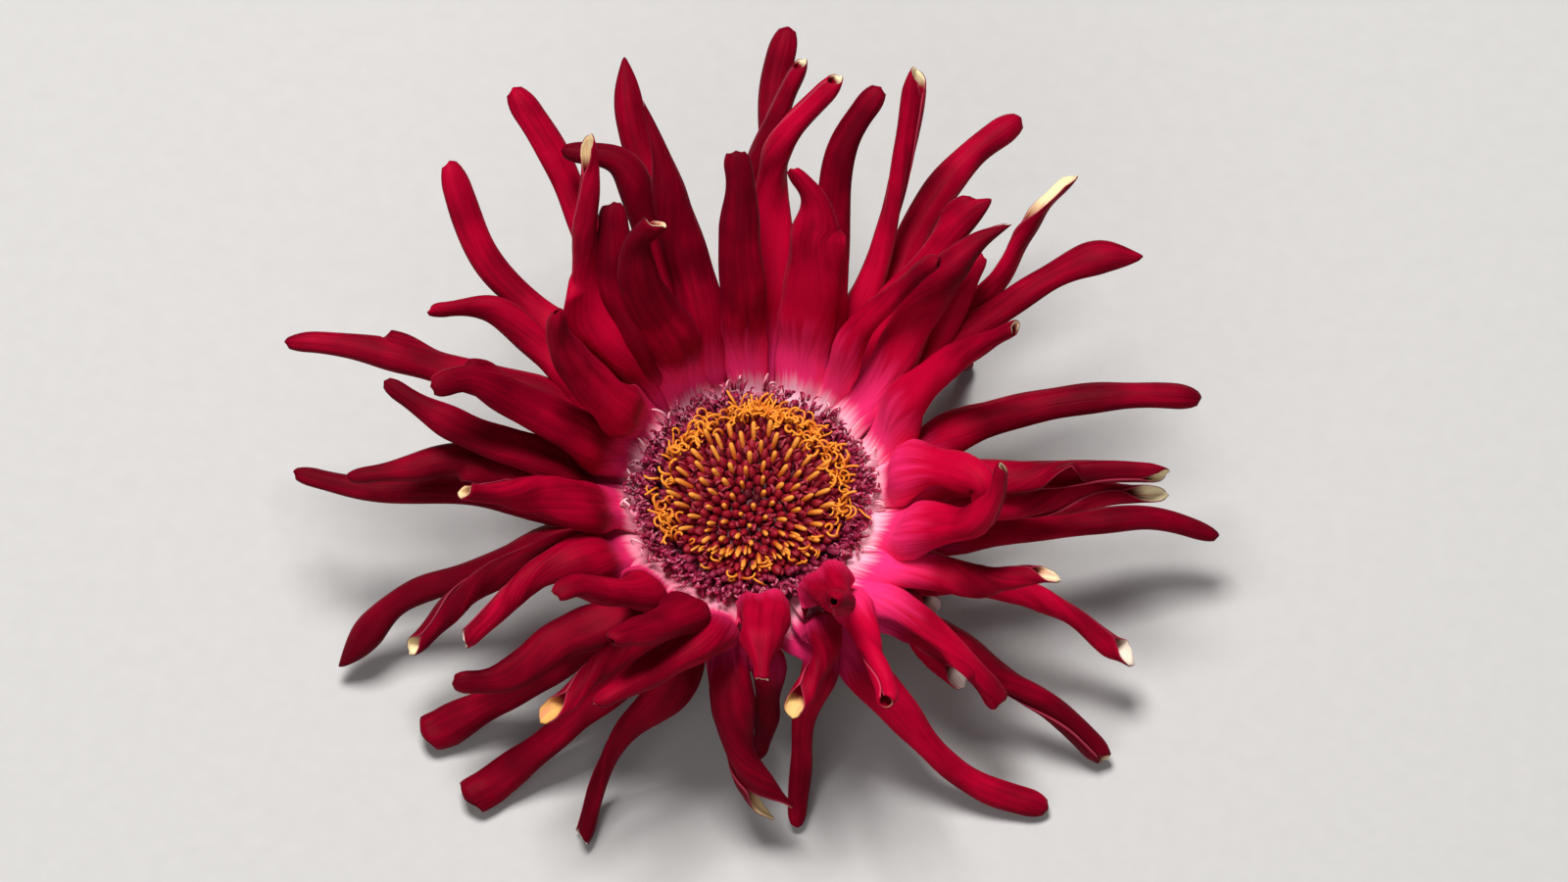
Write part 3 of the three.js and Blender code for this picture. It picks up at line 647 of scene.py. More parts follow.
class Value:
    """A number that varies over a surface, as a node socket that takes part in sums."""

    __add__ = __radd__ = operator("ADD")
    __sub__ = operator("SUBTRACT")
    __rsub__ = operator("SUBTRACT", swapped=True)
    __mul__ = __rmul__ = operator("MULTIPLY")
    __truediv__ = operator("DIVIDE")
    __pow__ = operator("POWER")

    def __init__(self, paint: "Paint", socket: bpy.types.NodeSocket) -> None:
        """Wrap a socket of the paint's node tree."""
        self.paint = paint
        self.socket = socket

    def rise(self, low: float, high: float) -> "Value":
        """Go smoothly from 0 at low to 1 at high, or fall where low is above high.

        Args:
            low: where it is 0.
            high: where it is 1.

        Returns:
            The new value.
        """
        inputs = {"Value": self, "From Min": low, "From Max": high}
        node = self.paint.node("ShaderNodeMapRange", {"interpolation_type": "SMOOTHSTEP"}, inputs)
        return Value(self.paint, node.outputs[0])


class Paint:
    """A material in the making, with one Principled shader."""

    def __init__(self, name: str) -> None:
        """Start an empty node tree with its shader and output.

        Args:
            name: the material's name.
        """
        self.material = bpy.data.materials.new(name)
        self.material.use_nodes = True
        self.tree = self.material.node_tree
        self.tree.nodes.clear()
        self.shader = self.node("ShaderNodeBsdfPrincipled")
        output = self.node("ShaderNodeOutputMaterial")
        self.tree.links.new(self.shader.outputs[0], output.inputs["Surface"])

    def node(
        self, kind: str, settings: dict[str, Any] | None = None, inputs: dict[Any, Any] | None = None
    ) -> bpy.types.Node:
        """Add a node.

        Args:
            kind: the node's type.
            settings: its own properties, set first.
            inputs: numbers, colours, values or sockets, by socket name or number.

        Returns:
            The node.
        """
        node = self.tree.nodes.new(kind)
        for key, setting in (settings or {}).items():
            setattr(node, key, setting)
        for key, given in (inputs or {}).items():
            self.feed(node.inputs[key], given)
        return node

    def feed(self, socket: bpy.types.NodeSocket, given: Any) -> None:
        """Link a socket to what is given, or set it to a number or colour.

        Args:
            socket: the socket.
            given: a value, another socket, a number or a colour.
        """
        if isinstance(given, Value):
            self.tree.links.new(given.socket, socket)
        elif isinstance(given, bpy.types.NodeSocket):
            self.tree.links.new(given, socket)
        elif socket.type == "RGBA" and len(given) == 3:
            socket.default_value = (*given, 1.0)
        else:
            socket.default_value = given

    def attribute(self, name: str) -> bpy.types.Node:
        """Add a node that reads an attribute of the mesh."""
        return self.node("ShaderNodeAttribute", {"attribute_name": name})

    def number(self, name: str) -> Value:
        """Read an attribute as a number."""
        return Value(self, self.attribute(name).outputs["Fac"])

    def scaled(self, vector: bpy.types.NodeSocket, scale: Sequence[float]) -> bpy.types.NodeSocket:
        """Stretch a vector by a scale."""
        node = self.node("ShaderNodeVectorMath", {"operation": "MULTIPLY"}, {0: vector, 1: scale})
        return node.outputs[0]

    def place(self, scale: Colour = (1.0, 1.0, 1.0)) -> bpy.types.NodeSocket:
        """Give the place on the object in mm, stretched by a scale."""
        factor = tuple(part / MM for part in scale)
        return self.scaled(self.node("ShaderNodeTexCoord").outputs["Object"], factor)

    def stretched(self, name: str, scale: Colour) -> bpy.types.NodeSocket:
        """Give a vector attribute stretched by a scale."""
        return self.scaled(self.attribute(name).outputs["Vector"], scale)

    def noise(
        self, where: bpy.types.NodeSocket, scale: float, detail: float = 2.0, roughness: float = 0.5
    ) -> Value:
        """Add a noise pattern.

        Args:
            where: the place that it is read at.
            scale: waves to a unit of the place.
            detail: number of finer layers.
            roughness: strength of the finer layers.

        Returns:
            The noise, about 0.3 to 0.7.
        """
        inputs = {"Vector": where, "Scale": scale, "Detail": detail, "Roughness": roughness}
        return Value(self, self.node("ShaderNodeTexNoise", inputs=inputs).outputs[0])

    def mix(self, share: Any, start: Any, stop: Any) -> bpy.types.NodeSocket:
        """Mix two colours by a share from 0 to 1."""
        node = self.node("ShaderNodeMix", {"data_type": "RGBA"}, {0: share, 6: start, 7: stop})
        return node.outputs[2]

    def bump(self, height: Value, depth_mm: float) -> None:
        """Raise and sink the surface by a height pattern of a given depth."""
        node = self.node("ShaderNodeBump", inputs={"Distance": depth_mm * MM, "Height": height})
        self.feed(self.shader.inputs["Normal"], node.outputs[0])

    def set(self, **inputs: Any) -> None:
        """Set or link sockets of the shader, with _ for a space in their names."""
        for key, given in inputs.items():
            self.feed(self.shader.inputs[key.replace("_", " ")], given)


@dataclass(frozen=True)
class PetalFinish:
    """Velvety crimson outside, pink to white at the base, and cream on the rolled-in underside, with
    painted light and shade.
    """

    # Deep, body and bright red: tones of the crimson that are partly painted shade and painted light.
    deep: Colour = (0.1, 0.0, 0.006)
    body: Colour = (0.3, 0.0, 0.016)
    bright: Colour = (0.56, 0.001, 0.033)
    pink: Colour = (1.0, 0.035, 0.21)
    pale: Colour = (1.0, 0.58, 0.7)
    # Lighter pink for the margins: a painted sheen.
    painted_margin_sheen: Colour = (0.8, 0.12, 0.2)
    # The underside's cream, then a pinkish white copy that is painted light and a darker honey copy that is
    # painted shade.
    cream: Colour = (0.97, 0.82, 0.5)
    lit_cream: Colour = (1.0, 0.84, 0.78)
    shaded_cream: Colour = (0.7, 0.4, 0.1)
    flush: Colour = (0.78, 0.2, 0.17)
    # The pink and white at the root reach further as the pale value, which is painted light, grows: by
    # pink_reach per unit of it, beyond least_reach.
    pink_reach: float = 7.5
    least_reach: float = 4.5

    @cache
    def material(self) -> bpy.types.Material:
        """Build the rays' material.

        In words: clouds, streaks, veins, the ray's own tint and its pale value, which is painted light from
        its bearing, sum up to a tone, from deep to bright red, that falls along the length of pale rays; so
        deep red is partly painted shade and bright red partly painted light. Pink and then white spread
        from the root over a reach, and with a strength, that grow with the pale value, so they are partly
        painted light. The margins get a painted sheen of lighter pink. The underside goes from cream in
        painted shade through cream to a pinkish white in painted light, and only the scoop at the end shows
        it clean.

        Returns:
            The material. It reads the attributes fibre, side, base, scoop, tint, pale, reverse
            and margin.
        """
        paint = Paint("petal_velvet")
        streak = paint.noise(paint.stretched("fibre", (2.6, 0.08, 1.0)), 1.0, 3.0, 0.6)
        vein = paint.noise(paint.stretched("fibre", (7.0, 0.12, 1.0)), 1.0, 2.0)
        cloud = paint.noise(paint.stretched("fibre", (0.35, 0.13, 1.0)), 1.0, 2.0)
        fine = paint.noise(paint.place(), 6.0, 3.0, 0.6)
        names = "tint", "side", "scoop", "pale", "base", "margin", "reverse"
        tint, side, scoop, pale, base, margin, reverse = map(paint.number, names)
        # Tone: clouds, streaks, veins and tint, plus painted light from the pale value, less a painted
        # darkening along the length of the lit rays.
        tone_and_light = cloud * 0.9 + streak * 0.45 + vein * 0.2 + tint * 0.4 + pale * 0.75
        tone_and_light = tone_and_light - base.rise(6.0, 36.0) * pale * 0.55 - 0.1
        # Deep red stands partly for painted shade and bright red partly for painted light.
        red = paint.mix(tone_and_light.rise(0.7, 1.4), self.deep, self.body)
        red = paint.mix(tone_and_light.rise(1.05, 1.6) * 0.7, red, self.bright)
        # Painted sheen: the margins turn lighter pink.
        red = paint.mix(margin.rise(0.93, 1.0) * 0.35, red, self.painted_margin_sheen)
        # Pink and then white at the root: the ray's own colour, with a reach and strength that grow with
        # the pale value, which is painted light.
        reach = base / (pale * self.pink_reach + self.least_reach)
        pink_root_and_light = (reach + streak * 0.8 - 0.4).rise(1.25, 0.4) * (pale * 0.5 + 0.5)
        red = paint.mix(pink_root_and_light, red, self.pink)
        root = reach + streak * 0.4 + vein * 0.15 + margin**2.0 * 0.14 - 0.28
        red = paint.mix(root.rise(0.36, 0.0) * (pale * 0.7 + 0.3), red, self.pale)
        # Underside colour: a honey cream in painted shade, cream, or a pinkish white in painted light, as
        # each ray sets it.
        back = paint.mix(reverse.rise(0.0, 0.5), self.shaded_cream, self.cream)
        back = paint.mix(reverse.rise(0.5, 1.0), back, self.lit_cream)
        back = paint.mix((streak + cloud - 1.0).rise(0.0, 0.4), back, self.flush)
        back = paint.mix(scoop.rise(0.7, 1.3), back, self.body)
        colour = paint.mix(side.rise(0.35, 0.65), red, back)
        paint.set(Base_Color=colour, Roughness=fine * 0.2 + 0.42)
        paint.set(Sheen_Weight=0.05, Sheen_Roughness=0.45, Sheen_Tint=(1.0, 0.06, 0.22, 1.0))
        paint.set(Specular_IOR_Level=0.03)
        paint.bump(streak * 0.9 + vein * 0.4 + fine * 0.3, 0.13)
        return paint.material


@dataclass(frozen=True)
class TissueFinish:
    """Soft floret tissue that goes from one colour at its root to another at its end, with grain and
    specks. A darker root colour is partly painted shade down among the crowded florets, and the specks are
    partly painted glints.
    """

    name: str
    root: Colour
    end: Colour
    speck_and_glint: Colour
    roughness: float = 0.55
    speckle_and_glint: float = 0.3
    grain_mm: float = 0.3
    gloss: float = 0.3

    @cache
    def material(self) -> bpy.types.Material:
        """Build the material, which reads the attributes along and tint.

        Returns:
            The material.
        """
        paint = Paint(self.name)
        along, tint = paint.number("along"), paint.number("tint")
        grain = paint.noise(paint.place(), 1.0 / self.grain_mm, 2.0)
        # Root to end: a darker root is partly painted shade down among the crowded florets.
        colour = paint.mix((along + tint * 0.3 - 0.15).rise(0.1, 0.9), self.root, self.end)
        # Specks, partly real and partly painted glints.
        colour = paint.mix((grain + tint * 0.2).rise(0.62, 0.75) * self.speckle_and_glint, colour, self.speck_and_glint)
        paint.set(Base_Color=colour, Roughness=grain * 0.2 + (self.roughness - 0.1))
        paint.set(Specular_IOR_Level=self.gloss)
        paint.bump(grain, 0.05)
        return paint.material


@dataclass(frozen=True)
class GreenFinish:
    """Green skin of stem and bracts with lengthwise ribs, paler where it is cut."""

    name: str = "green_skin"
    dark: Colour = (0.1, 0.17, 0.04)
    light: Colour = (0.27, 0.36, 0.12)
    pith: Colour = (0.62, 0.68, 0.42)
    cut_height: float = 0.25

    @cache
    def material(self) -> bpy.types.Material:
        """Build the material on object coordinates.

        Returns:
            The material.
        """
        paint = Paint(self.name)
        cloud = paint.noise(paint.place(), 0.5, 3.0)
        rib = paint.noise(paint.place((3.0, 3.0, 0.15)), 1.0, 2.0)
        height = Value(paint, paint.node("ShaderNodeSeparateXYZ", inputs={0: paint.place()}).outputs[2])
        colour = paint.mix((cloud + rib - 0.5).rise(0.25, 0.75), self.dark, self.light)
        colour = paint.mix(height.rise(self.cut_height, 0.05), colour, self.pith)
        paint.set(Base_Color=colour, Roughness=cloud * 0.2 + 0.45, Sheen_Weight=0.3)
        paint.bump(rib + cloud * 0.5, 0.1)
        return paint.material


Finish = PetalFinish | TissueFinish | GreenFinish
PETAL_VELVET = PetalFinish()
# The last colour of each finish is its specks, which stand partly for painted glints.
BUD_RED = TissueFinish("bud_red", (0.07, 0.0, 0.006), (0.25, 0.001, 0.012), (0.42, 0.015, 0.03))
LIP_RED = TissueFinish("lip_red", (0.12, 0.0, 0.008), (0.3, 0.002, 0.02), (0.6, 0.15, 0.2))
ANTHER_ORANGE = TissueFinish("anther_orange", (0.5, 0.08, 0.006), (0.78, 0.29, 0.035), (0.9, 0.45, 0.1))
CURL_ORANGE = TissueFinish("curl_orange", (0.5, 0.085, 0.004), (0.84, 0.29, 0.018), (0.95, 0.45, 0.08))
LIP_PURPLE = TissueFinish(
    "lip_purple", (0.12, 0.001, 0.016), (0.42, 0.016, 0.085), (0.85, 0.4, 0.48), speckle_and_glint=0.4, gloss=0.1
)
TUBE_PLUM = TissueFinish("tube_plum", (0.07, 0.0, 0.01), (0.22, 0.004, 0.035), (0.4, 0.08, 0.14))
THREAD_PINK = TissueFinish("thread_pink", (0.7, 0.2, 0.3), (0.9, 0.6, 0.65), (1.0, 0.9, 0.9))
PALE_HAIR = TissueFinish("pale_hair", (0.7, 0.72, 0.6), (0.9, 0.9, 0.85), (1.0, 1.0, 1.0))
GREEN_SKIN = GreenFinish()
COLLAR_PLUM = GreenFinish("collar_plum", (0.08, 0.004, 0.02), (0.2, 0.01, 0.05), (0.2, 0.01, 0.05))


@dataclass
class RayWhorl:
    """One whorl of rays, each a strap whose margins roll under into a quill.

    Sizes are in mm. Rolls are half angles of the strap's bend: of the blade, of the quill, of an open
    end and of a shoulder. Waves along a ray have their depth and their least and greatest number of
    periods, and sets of pleats their depth, least and greatest pitch round the strap, and drift.
    From claw_end to turning, spans are the shares of the length over which a change takes place, but
    flatness is the least and greatest depth of a quill to its width.
    """

    whorl: Whorl
    rays: Sequence[Ray]
    seed: int
    root_reach: float = 4.5
    thickness: float = 0.36
    stations: int = 72
    columns: int = 23
    blade_roll: float = math.radians(52)
    full_roll: float = math.radians(184)
    open_roll: float = math.radians(62)
    shoulder_roll: float = math.radians(85)
    shoulder_rise: float = 0.22
    shoulder_fall: float = 1.4
    wobbles: tuple[Wave, ...] = ((0.06, 1.5, 3.0), (0.025, 4.0, 6.0))
    ruffle: Wave = (0.2, 2.0, 4.0)
    sway: Wave = (0.3, 1.2, 2.2)
    pleats: tuple[tuple[float, float, float, float], ...] = ((0.03, 3.4, 4.8, 2.0), (0.016, 8.0, 10.0, 3.0))
    overlap: float = 0.09
    corner_cut: float = 0.03
    margin_thinning: float = 0.45
    claw_width: float = 0.8
    claw_end: Span = (0.05, 0.25)
    narrowing: Span = (0.3, 0.65)
    last_change: Span = (0.72, 0.94)
    rolling: Span = (0.15, 0.5)
    root_fade: Span = (0.02, 0.12)
    groove_end: Span = (0.55, 0.9)
    flatness: Span = (0.66, 0.86)
    turning: Span = (0.45, 0.88)
    path_points: int = 121
    # Bearing of the rays that are painted as most lit; the pale value falls away from it.
    painted_light_bearing: float = math.radians(30)

    def path(self, ray: Ray) -> Array:
        """Give a ray's middle line at even shares of its length.

        Args:
            ray: the ray.

        Returns:
            Points from the root to the tip.
        """
        radius, depth, climb = self.whorl.value
        bearing = math.radians(ray.bearing)
        rise = math.radians(climb)
        height = FACE - depth
        root = around(bearing, radius, height)
        collar = around(
            bearing,
            radius + self.root_reach * math.cos(rise),
            height + self.root_reach * math.sin(rise),
        )
        points = np.vstack([root, collar, SIGHT.place(ray.route)])
        return spline(points, np.linspace(0, 1, self.path_points))

    @staticmethod
    def frames(path: Array) -> tuple[Array, Array]:
        """Carry an upward direction along a path without turning it more than the path turns.

        Args:
            path: points along the middle line.

        Returns:
            The normals and the sideways directions.
        """
        tangent = unit(np.gradient(path, axis=0))
        normal = np.empty_like(path)
        carried = UP
        for station, direction in enumerate(tangent):
            carried = unit(carried - (carried @ direction) * direction)
            normal[station] = carried
        return normal, np.cross(tangent, normal)

    def width(self, ray: Ray, share: Array) -> Array:
        """Give the width as seen: claw, blade, quill, then the end, each passing smoothly to the next.

        Args:
            ray: the ray.
            share: shares of its length.

        Returns:
            The widths.
        """
        body = lerp(self.claw_width * ray.blade, ray.blade, smoothstep(share, *self.claw_end))
        tube = lerp(body, ray.quill, smoothstep(share, *self.narrowing))
        return lerp(tube, ray.end, smoothstep(share, *self.last_change))

    def roll(self, ray: Ray, share: Array, length: float) -> Array:
        """Give the half angle through which the strap is bent.

        In words: it goes from an arched blade to a closed quill, and along the scoop back towards
        an open gutter by the ray's opening.

        Args:
            ray: the ray.
            share: shares of its length.
            length: its length.

        Returns:
            The half angles.
        """
        rolled = lerp(self.blade_roll, self.full_roll, smoothstep(share, *self.rolling))
        left = (1 - share) * length / ray.scoop
        return lerp(rolled, self.open_roll, ray.opening * (1 - smoothstep(left, 0.4, 1.6)))

    def sheet(self, ray: Ray, rng: np.random.Generator) -> Shape:
        """Build one ray as a closed sheet.

        In words: at a share of the length, a point lies at an angle round the middle line's
        underside, from minus to plus the roll, on a flattened circle as wide as the ray looks. Low
        pleats and a middle groove run along it, one margin may stand out as a shoulder, and a tube's
        one margin lies inside the other.

        Args:
            ray: the ray.
            rng: source of its small variations.

        Returns:
            The sheet.
        """
        begin, left, blunt, tooth, notch = ray.tip.value
        across = np.linspace(-1, 1, self.columns)[None]
        spread = np.abs(across)
        row = np.linspace(0, 1, self.stations)[:, None]
        path = self.path(ray)
        length = np.linalg.norm(np.diff(path, axis=0), axis=1).sum()
        teeth = tooth * (1 - np.cos(3 * np.pi * across)) / 2
        cut = self.corner_cut * spread**2 + teeth + notch * (1 - spread**2) ** 2
        share = row - cut * smoothstep(row, 0.55, 1.0)

        def wave(depth: float, low: float, high: float) -> Array:
            """Run a sine along the ray, its number of periods drawn between low and high."""
            return depth * np.sin(2 * np.pi * (share * rng.uniform(low, high) + rng.random()))

        wobble = np.ones_like(share)
        for kind in self.wobbles:
            wobble = wobble + wave(*kind)
        cap = np.clip((share - begin) / (1 - begin), 0, 1)
        closing = (1 - (1 - left**blunt) * cap**2) ** (1 / blunt)
        roll = self.roll(ray, share, length)
        rolled = smoothstep(roll, self.blade_roll, self.full_roll)
        radius = self.width(ray, share) * wobble * closing / (2 * np.sin(np.minimum(roll, np.pi / 2)))
        shoulder, shoulder_side, size = ray.shoulder
        wing = smoothstep(share, shoulder - self.shoulder_rise, shoulder - 0.02)
        place = shoulder * length
        wing = wing * (1 - smoothstep(share * length, place, place + self.shoulder_fall))
        wing = wing * (across * shoulder_side > 0) * (size > 0)
        angle = across * lerp(roll, np.minimum(roll, self.shoulder_roll), wing)
        pleat = np.zeros_like(angle)
        for depth, low, high, drift in self.pleats:
            phase = rng.uniform(low, high) * angle + rng.uniform(0, 6) + rng.uniform(-drift, drift) * share
            pleat = pleat + depth * np.sin(phase)
        formed = smoothstep(share, *self.root_fade)
        radius = radius * (1 + pleat * formed) * (1 - self.overlap * across * rolled)
        flat = lerp(1.0, rng.uniform(*self.flatness), smoothstep(share, 0.1, 0.35))
        height = radius * (1 - np.cos(roll)) * flat
        groove = ray.crease * np.exp(-((across / lerp(0.26, 0.15, rolled)) ** 2))
        groove = groove * formed * (1 - smoothstep(share, *self.groove_end))
        ruffle = wave(*self.ruffle) * spread**3 * (1 - rolled)
        stand = size * wing * smoothstep(spread, 0.4, 1.0)
        x = radius * np.sin(angle) + shoulder_side * stand
        y = height / 2 - radius * (1 - np.cos(angle)) * flat + ruffle - groove + 0.25 * stand
        thick = np.minimum(self.thickness * (1 - self.margin_thinning * across**2), 0.4 * radius)
        inner_x = x - thick * np.sin(angle)
        inner_y = y - thick * np.cos(angle)
        normal, side = self.frames(path)
        shares = np.linspace(0, 1, len(path))
        flat_share = np.broadcast_to(share, x.shape).ravel()

        def read(table: Array) -> Array:
            """Read a table of vectors at each point's share of the length."""
            parts = [np.interp(flat_share, shares, table[:, k]) for k in range(3)]
            return np.stack(parts, axis=-1).reshape(*x.shape, 3)

        middle, up, sideways = read(path), unit(read(normal)), unit(read(side))
        sway = wave(*self.sway) * np.sin(np.pi * share)
        middle = middle + sideways * np.broadcast_to(sway, x.shape)[..., None]
        middle[..., 2] = np.maximum(middle[..., 2], 0.5 * height + 0.1)
        turn = math.radians(ray.turn) * smoothstep(share, *self.turning)

        def placed(flat_x: Array, flat_y: Array) -> Array:
            """Put points of the cross section in space, turned about the middle line.

            Args:
                flat_x: their places to the side.
                flat_y: their places upward.

            Returns:
                Points above the floor.
            """
            turned_x = flat_x * np.cos(turn) - flat_y * np.sin(turn)
            turned_y = flat_x * np.sin(turn) + flat_y * np.cos(turn)
            points = middle + sideways * turned_x[..., None] + up * turned_y[..., None]
            points[..., 2] = np.maximum(points[..., 2], 0.02)
            return points

        outer, inner = placed(x, y), placed(inner_x, inner_y)
        whole = np.ones_like(x)
        grain = across * 0.6 * ray.blade, share * length, rng.uniform(0, 90)
        fibre = np.stack([part * whole for part in grain], axis=-1)
        # Painted light: the pale value is higher on rays whose bearing faces the most lit bearing, with a
        # small random spread; it makes those rays brighter and their roots pinker and whiter.
        facing_light = (1 + math.cos(math.radians(ray.bearing) - self.painted_light_bearing)) / 2
        carried = {
            "base": share * length - self.root_reach + 1.5,
            "scoop": (1 - share) * length / ray.scoop + 1.3 - min(3.2 * ray.opening, 1.3),
            "tint": rng.uniform(0, 1),
            "pale": (0.2 + 0.8 * facing_light) * rng.uniform(0.85, 1.1),
            "reverse": ray.reverse,
            "margin": spread,
        }
        values = {name: (value * whole, value * whole) for name, value in carried.items()}
        values["fibre"] = (fibre, fibre + 7.0)
        values["side"] = (0 * whole, whole)
        return shell(outer, inner, values)

    def build(self) -> None:
        """Build the whorl."""
        rng = np.random.default_rng(self.seed)
        shape = Shape.joined([self.sheet(ray, rng) for ray in self.rays])
        shape.piece(f"rays_{self.whorl.name.lower()}", "petal", PETAL_VELVET, "ray_florets")


@dataclass
class Disc:
    """The disc: buds and opened florets in a spiral, with orange anther columns.

    Sizes are in mm, leans and bearings in degrees, and bends in radians. Leans are those at the
    centre and from lean_reach on. The dip shortens the buds at the centre. The pad's outline has
    distances from the axis and heights from the face. Dots are short columns that stand in front of
    the others; dot_bearings and dot_radii hold the first and the extent.
    """

    bud: Stalk = Stalk(2.9, 0.68, (0.8, 0.9, 1.0, 0.92, 0.62, 0.15), 8)
    bud_count: int = 250
    bud_reach: float = 10.6
    bud_length: float = 2.0
    dip: float = 0.9
    dip_reach: float = 1.5
    pad: tuple[Span, ...] = ((10.0, -4.3), (10.1, -2.8), (9.4, -2.4), (0.5, -2.6))
    leans: Span = (4.0, 46.0)
    lean_reach: float = 9.0
    lip: Lip = Lip(0.26, (0.7, 1.0, 1.0, 0.9, 0.8, 0.6, 0.2), 0.35)
    lip_count: int = 190
    lip_bend: Span = (1.6, 3.2)
    lip_size: Span = (0.45, 0.75)
    column: Stalk = Stalk(1.8, 0.33, (0.8, 0.85, 0.95, 1.0, 1.0, 1.0, 0.9, 0.5), 8)
    column_count: int = 74
    column_reach: float = 9.7
    column_length: Span = (1.9, 2.7)
    dot_count: int = 32
    dot_bearings: Span = (222.0, 96.0)
    dot_radii: Span = (7.4, 3.4)
    dot_length: float = 2.0
    dot_width: float = 0.66
    seed: int = 7

    def spiral(self, count: int, reach: float, start: float) -> tuple[Array, Array]:
        """Place points in a sunflower spiral.

        In words: each is a golden angle on from the last, and its distance grows with the square
        root of its number.

        Args:
            count: number of points.
            reach: distance of the last one.
            start: number that the first one counts as.

        Returns:
            Bearings and distances.
        """
        order = np.arange(count)
        return order * GOLDEN_ANGLE, reach * np.sqrt((order + start) / (count + start))

    def lean(self, radius: Array) -> Array:
        """Give the outward lean at a distance from the axis, in radians."""
        return np.radians(lerp(*self.leans, smoothstep(radius, 0, self.lean_reach)))

    def buds(self) -> None:
        """Build the dark red buds and tubes, on a pad that closes the gaps between them."""
        rng = np.random.default_rng(self.seed)
        bearing, radius = self.spiral(self.bud_count, self.bud_reach, 0.5)
        lean = self.lean(radius) + rng.uniform(-0.1, 0.1, radius.shape)
        length = self.bud_length + rng.uniform(-0.2, 0.3, radius.shape)
        length = length - self.dip * np.exp(-((radius / self.dip_reach) ** 2))
        own = rng.uniform(0.85, 1.15, radius.shape)
        tint = rng.random(radius.shape) * smoothstep(radius, 0.0, 2.5)
        shape = self.bud.grow(bearing, radius, lean, length, own, tint, ripe=smoothstep(radius, 0, 2))
        pad = lathe([(reach, FACE + height) for reach, height in self.pad], 48)
        # The pad takes the buds' darkest root colour: painted shade in the gaps between them.
        pad.values = dict.fromkeys(shape.values, np.zeros(len(pad.points)))
        Shape.joined([shape, pad]).piece("disc_buds", "disc_floret", BUD_RED, "disc_florets")

    def lips(self) -> None:
        """Build the small dark red lips that curl back from the opened tubes, each its own way."""
        rng = np.random.default_rng(self.seed + 1)
        count = self.lip_count
        bearing, radius = self.spiral(count, self.bud_reach + 0.3, 14.0)
        outward, sideways = compass(bearing)
        turn = rng.uniform(0, 2 * np.pi, count)[:, None]
        heading = outward * np.cos(turn) + sideways * np.sin(turn)
        lean = self.lean(radius)[:, None]
        stem = outward * np.sin(lean) + UP * np.cos(lean)
        start = around(bearing, radius, FACE - 1.6) + heading * 0.3
        bend = rng.uniform(*self.lip_bend, count)
        size = rng.uniform(*self.lip_size, count)
        shape = self.lip.grow(start, stem, heading, bend, size, 1.0, rng.random(count))
        shape.piece("disc_lips", "disc_floret", LIP_RED, "disc_florets")

    def columns(self) -> None:
        """Build the orange anther columns, blunt slim sticks that lean outward, and the dots."""
        rng = np.random.default_rng(self.seed + 2)
        bearing, radius = self.spiral(self.column_count, self.column_reach, 2.2)
        order = np.arange(self.dot_count)
        (first, extent), (nearest, depth) = self.dot_bearings, self.dot_radii
        bearing = np.concatenate([bearing, np.radians(first + extent * (order * 0.618 % 1))])
        radius = np.concatenate([radius, nearest + depth * (order * 0.755 % 1)])
        count = len(radius)
        dots = np.arange(count) >= self.column_count
        bearing = bearing + rng.uniform(-0.05, 0.05, count)
        lean = self.lean(radius) + rng.uniform(-0.2, 0.2, count)
        skew = rng.uniform(-0.16, 0.16, count)
        length = lerp(*self.column_length, smoothstep(radius, 1, 9)) * rng.uniform(0.8, 1.1, count)
        length = np.where(dots, self.dot_length, length)
        own = rng.uniform(0.88, 1.12, count) * np.where(dots, self.dot_width, 1.0)
        tint = rng.random(count)
        shape = self.column.grow(bearing, radius - 0.4, lean, length, own, tint, skew, sag=0.25)
        shape.piece("anther_columns", "disc_floret", ANTHER_ORANGE, "disc_florets")


